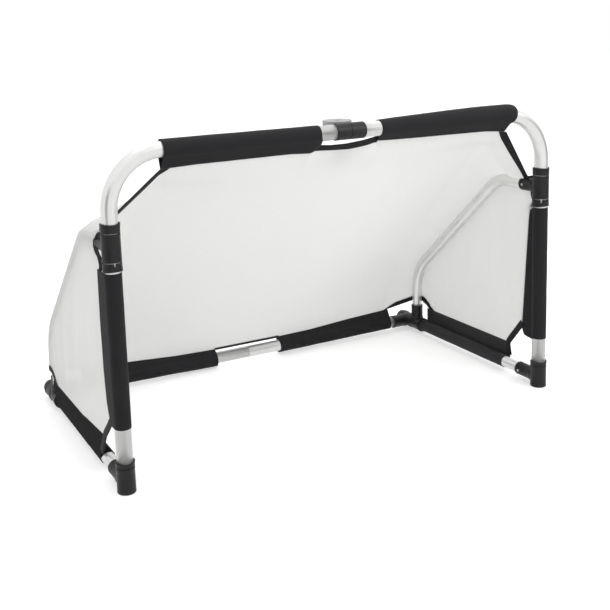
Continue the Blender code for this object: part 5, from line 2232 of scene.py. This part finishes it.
@dataclass
class Hems:
    """The black tapes on the edges of the nets."""

    width: float = 0.0205
    side_half: float = 0.0021
    hinge_reach: float = 0.1178
    gap_reach: float = 0.1398
    gap_width: float = 0.0132

    def band(self, side: Side, points: Sequence[Tuple[float, float]], step: float = 0.005) -> List[
        List[Vector]
    ]:
        """The two lines of a tape that lies in the plane of the side net.

        Args:
            side: which side.
            points: its free edge as (depth, height), the net on its left.
            step: the longest stretch between two crossings.

        Returns:
            The free edge and the line where the tape ends on the net.
        """
        path = spread([Vector(point) for point in points], step)
        for _ in range(3):
            path = [
                path[0],
                *[mix(b, mix(a, c, 0.5), 0.5) for a, b, c in zip(path, path[1:], path[2:])],
                path[-1]
            ]
        edge, inner = [], []
        for index, place in enumerate(path):
            ahead = (path[min(index + 1, len(path) - 1)] - path[max(index - 1, 0)]).normalized()
            reach = place + Vector((-ahead.y, ahead.x)) * self.width
            edge.append(M.spot(side.sign * M.net_x, place.x, place.y))
            inner.append(M.spot(side.sign * M.net_x, reach.x, reach.y))
        return [edge, inner]

    def side_tapes(self, side: Side, finishes: Finishes) -> List[bpy.types.Object]:
        """Makes the three tapes of one side.

        Args:
            side: which side.
            finishes: the goal's materials.

        Returns:
            The lower, rear and upper tape.
        """
        nets, drape = NetPanels(side), DRAPES[side]
        first, second = (Vector(point) for point in drape.net_foot[:2])
        hidden = tuple(first + (first - second).normalized() * 0.016)
        falling = [
            hidden, *drape.net_foot[:3], (0.150, 0.060) if side is Side.LEFT else (0.167, 0.060)
        ]
        lower = Binding(
            side.named("lower_hem"), self.band(side, falling), half=self.side_half
        ).build(finishes)
        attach(lower, side.named("side"))

        rising = [(0.640, 0.1060), *drape.net_foot[-3:], (M.leg_depth + 0.010, 0.1320)]
        edge, inner = self.band(side, rising)
        for k in range(9):
            inner[k] = mix(edge[k], inner[k], 0.06 + 0.94 * k / 9)
        lines = [[mix(a, b, row / 3) for a, b in zip(edge, inner)] for row in range(4)]
        for k in range(31):
            across = mix(nets.edge, nets.foot_rim - 0.012, k / 30) / nets.edge
            width = self.width / 1.2 * (0.06 + 0.94 * ease(1.0 - k / 30, 0.0, 0.40))
            for row, line in enumerate(lines):
                line.append(nets.back_point(across, 1.0 - width * row / 3))
        rear = Binding(side.named("rear_hem"), lines, half=self.side_half).build(finishes)
        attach(rear, side.named("side"))

        lines = [[], [], [], []]
        start, rim = nets.roof.path[0], nets.head(nets.head_rim)[0]
        steep = (start - rim).length / (drape.band_end - nets.head_rim)
        for k in range(41):
            x = mix(nets.head_rim, nets.edge, k / 40)
            back = lookup(drape.band, x)
            reach = min(max(0.0, min(x, drape.band_end) - nets.head_rim), back)
            for row, line in enumerate(lines):
                line.append(
                    nets.back_point((x - back * row / 3) / nets.edge, steep * reach * row / 3.6)
                )
        top, bottom = start.y, drape.net_foot[0][1]
        for k in range(1, 25):
            down = (top - mix(top, 0.646, k / 24)) / (top - bottom)
            for row, line in enumerate(lines):
                line.append(nets.side_point(0.020 * row / 3, down))
        upper = Binding(side.named("upper_hem"), lines).build(finishes)
        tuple(lines[0][0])
        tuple(lines[0][36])
        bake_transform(upper)
        return [lower, rear, upper]

    def middle_tapes(self, finishes: Finishes) -> List[bpy.types.Object]:
        """Makes the tape under the hinge and the one between the rear sleeves.

        Args:
            finishes: the goal's materials.

        Returns:
            The tape under the hinge, and the left and right halves of the rear one.
        """
        lines: List[List[Vector]] = [[], [], [], []]
        for k in range(-20, 21):
            nets = NetPanels(Side.LEFT if k < 0 else Side.RIGHT)
            x = self.hinge_reach * abs(k) / 20
            width = lookup(nets.drape.hinge_line, x) - lookup(nets.drape.hinge_fall, x)
            for row, line in enumerate(lines):
                line.append(nets.back_point(x / nets.edge, width / 0.87 * row / 3))
        hinge = Binding("hinge_hem", lines).build(finishes)
        ends = [M.spot(x, M.crossbar_flap_shift, 0.94) for x in (-0.03, 0.03)]
        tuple(ends[0])
        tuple(ends[1])
        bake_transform(hinge)
        tapes = [hinge]
        for side in Side:
            nets = NetPanels(side)
            places = [mix(0.0, self.gap_reach, k / 20) / nets.edge for k in range(21)]
            lines = [
                [
                    nets.back_point(place, 1.0 - self.gap_width * row / 3) for place in places
                ] for row in range(4)
            ]
            tape = Binding("rear_gap_hem", lines, title=side.named("rear_gap_hem")).build(finishes)
            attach(tape, side.named("front"))
            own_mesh(tape)
            tapes.append(tape)
        return tapes

    def build(self, finishes: Finishes) -> List[bpy.types.Object]:
        """Makes all the tapes.

        Args:
            finishes: the goal's materials.

        Returns:
            The tapes.
        """
        tapes = []
        for side in Side:
            tapes += self.side_tapes(side, finishes)
        return tapes + self.middle_tapes(finishes)


@dataclass
class Studio:
    """The white floor, the dark flags, the soft lamps and the camera."""

    frame_pixels: int = 610
    focal_pixels: float = 965.172
    axis_column: float = 264.876
    axis_row: float = 188.705
    yaw: float = -0.461491
    pitch: float = 0.173382
    roll: float = -0.036380
    station: Tuple[float, float, float] = (-1.548894, -2.937583, 1.331176)
    sensor: float = 36.0
    floor_size: float = 40.0
    floor_level: float = -0.0008
    floor_glow: float = 0.45
    mirror_glow: float = 1.0
    world_level: float = 1.0
    flag_size: float = 0.75
    flag_shade: float = 0.03
    flag_places: Tuple[Tuple[float, float, float], ...] = (
        (-2.70, -1.95, 0.80), (2.90, -1.30, 0.80)
    )

    def camera(self) -> bpy.types.Object:
        """Places the camera where the photograph was taken from.

        Returns:
            The camera, which is the scene's.
        """
        forward = Vector(
            (-sin(self.yaw) * cos(self.pitch), cos(self.yaw) * cos(self.pitch), -sin(self.pitch))
        )
        right = Vector((cos(self.yaw), sin(self.yaw), 0.0))
        up = right.cross(forward)
        across = right * cos(self.roll) + up * sin(self.roll)
        upward = up * cos(self.roll) - right * sin(self.roll)
        data = bpy.data.cameras.new("camera")
        data.sensor_width = self.sensor
        data.lens = self.focal_pixels / self.frame_pixels * self.sensor
        data.shift_x = (self.frame_pixels / 2 - self.axis_column) / self.frame_pixels
        data.shift_y = (self.axis_row - self.frame_pixels / 2) / self.frame_pixels
        camera = bpy.data.objects.new("camera", data)
        turn = Matrix((across, upward, -forward)).transposed().to_4x4()
        camera.matrix_world = Matrix.Translation(self.station) @ turn
        bpy.context.scene.collection.objects.link(camera)
        bpy.context.scene.camera = camera
        return camera

    def floor(self) -> bpy.types.Object:
        """Lays the white floor, on which the goal keeps its soft shadow."""
        recipe = Recipe("studio_floor")
        recipe.set(Base_Color=(0.80, 0.80, 0.80, 1.0), Roughness=0.9, Specular_IOR_Level=0.1)
        camera_rays = recipe.node("ShaderNodeLightPath", {}, {}, "Is Camera Ray")
        mirror_rays = recipe.node("ShaderNodeLightPath", {}, {}, "Is Glossy Ray")
        glow = recipe.node(
            "ShaderNodeEmission", {}, {"Color": (1.0, 1.0, 1.0, 1.0), "Strength": self.floor_glow}
        )
        white = recipe.node(
            "ShaderNodeEmission", {}, {"Color": (1.0, 1.0, 1.0, 1.0), "Strength": self.mirror_glow}
        )
        plain = Wire(recipe, recipe.shader.outputs[0])
        lit = recipe.node("ShaderNodeAddShader", {}, {0: plain, 1: glow})
        seen = recipe.node("ShaderNodeMixShader", {}, {0: camera_rays, 1: plain, 2: lit})
        seen = recipe.node("ShaderNodeMixShader", {}, {0: mirror_rays, 1: seen, 2: white})
        recipe.finish(seen)
        blank = Blank("studio_floor")
        bmesh.ops.create_grid(blank.bm, x_segments=1, y_segments=1, size=self.floor_size / 2)
        blank.moved(Matrix.Translation((0.0, 0.0, self.floor_level)))
        floor = blank.loose()
        floor.data.materials.append(recipe.material)
        return floor

    def world(self) -> None:
        """Lights the goal evenly from all round with white."""
        world = bpy.data.worlds.new("studio")
        world.use_nodes = True
        bpy.context.scene.world = world
        background = world.node_tree.nodes["Background"]
        background.inputs["Color"].default_value = (1.0, 1.0, 1.0, 1.0)
        background.inputs["Strength"].default_value = self.world_level

    def flag(self, place: Vector) -> None:
        """Stands a dark board beside the camera, which the tubes mirror as a soft streak.

        Args:
            place: the middle of the board.
        """
        recipe = Recipe("studio_flag")
        shade = self.flag_shade
        recipe.set(Base_Color=(shade, shade, shade, 1.0), Roughness=0.9)
        blank = Blank("studio_flag")
        bmesh.ops.create_grid(blank.bm, x_segments=1, y_segments=1, size=self.flag_size)
        turn = (Vector((0.0, 0.0, 0.8)) - place).to_track_quat("Z", "Y").to_matrix().to_4x4()
        blank.moved(Matrix.Translation(place) @ turn)
        board = blank.loose()
        board.data.materials.append(recipe.material)
        board.visible_camera = False

    def lamp(self, name: str, place: Vector, aim: Vector, size: float, power: float) -> None:
        """Adds a soft square lamp.

        Args:
            name: its name.
            place: where it hangs.
            aim: the point that it faces.
            size: the length of its sides.
            power: its power in watts.
        """
        data = bpy.data.lights.new(name, "AREA")
        data.shape = "SQUARE"
        data.size = size
        data.energy = power
        lamp = bpy.data.objects.new(name, data)
        lamp.location = place
        lamp.rotation_euler = (aim - place).to_track_quat("-Z", "Y").to_euler()
        bpy.context.scene.collection.objects.link(lamp)

    def build(self) -> None:
        """Sets up the whole studio."""
        self.camera()
        self.floor()
        self.world()
        for place in self.flag_places:
            self.flag(Vector(place))
        middle = Vector((0.0, 0.0, 0.45))
        self.lamp("key_lamp", Vector((2.6, -3.2, 3.4)), middle, 2.4, 60.0)
        self.lamp("top_lamp", Vector((0.2, 0.6, 4.2)), middle, 3.0, 30.0)
        bpy.context.scene.view_settings.view_transform = "Standard"


def dress_hidden(frame: dict, finishes: Finishes) -> None:
    """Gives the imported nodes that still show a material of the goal.

    Args:
        finishes: the goal's materials.
    """
    for name, finish in (
        ("hinge_bolt", finishes.steel),
        ("hinge_nut", finishes.steel),
        ("lock_spring", finishes.steel),
        ("rear_ferrule", finishes.plastic),
    ):
        for slot in frame["nodes"][name].material_slots:
            slot.material = finish
        LOG.info("%s: packed solid kept", name)


def main() -> None:
    """Builds the goal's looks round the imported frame."""
    logging.basicConfig(level=logging.INFO, format="%(name)s %(message)s")
    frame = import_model()
    finishes = Finishes()
    Studio().build()
    pieces: List[bpy.types.Object] = []
    for side in Side:
        pieces += FrontBow(side).build(finishes)
        pieces += SideFrame(side).build(finishes)
        pieces += RearBar(side).build(finishes)
        pieces += Sleeves(side).build()
        pieces += NetPanels(side).build(finishes)
    pieces += MiddleHinge().build(finishes)
    pieces += Hems().build(finishes)
    dress_hidden(frame, finishes)
    LOG.info("%d pieces", len(pieces))


if __name__ == "__main__":
    main()
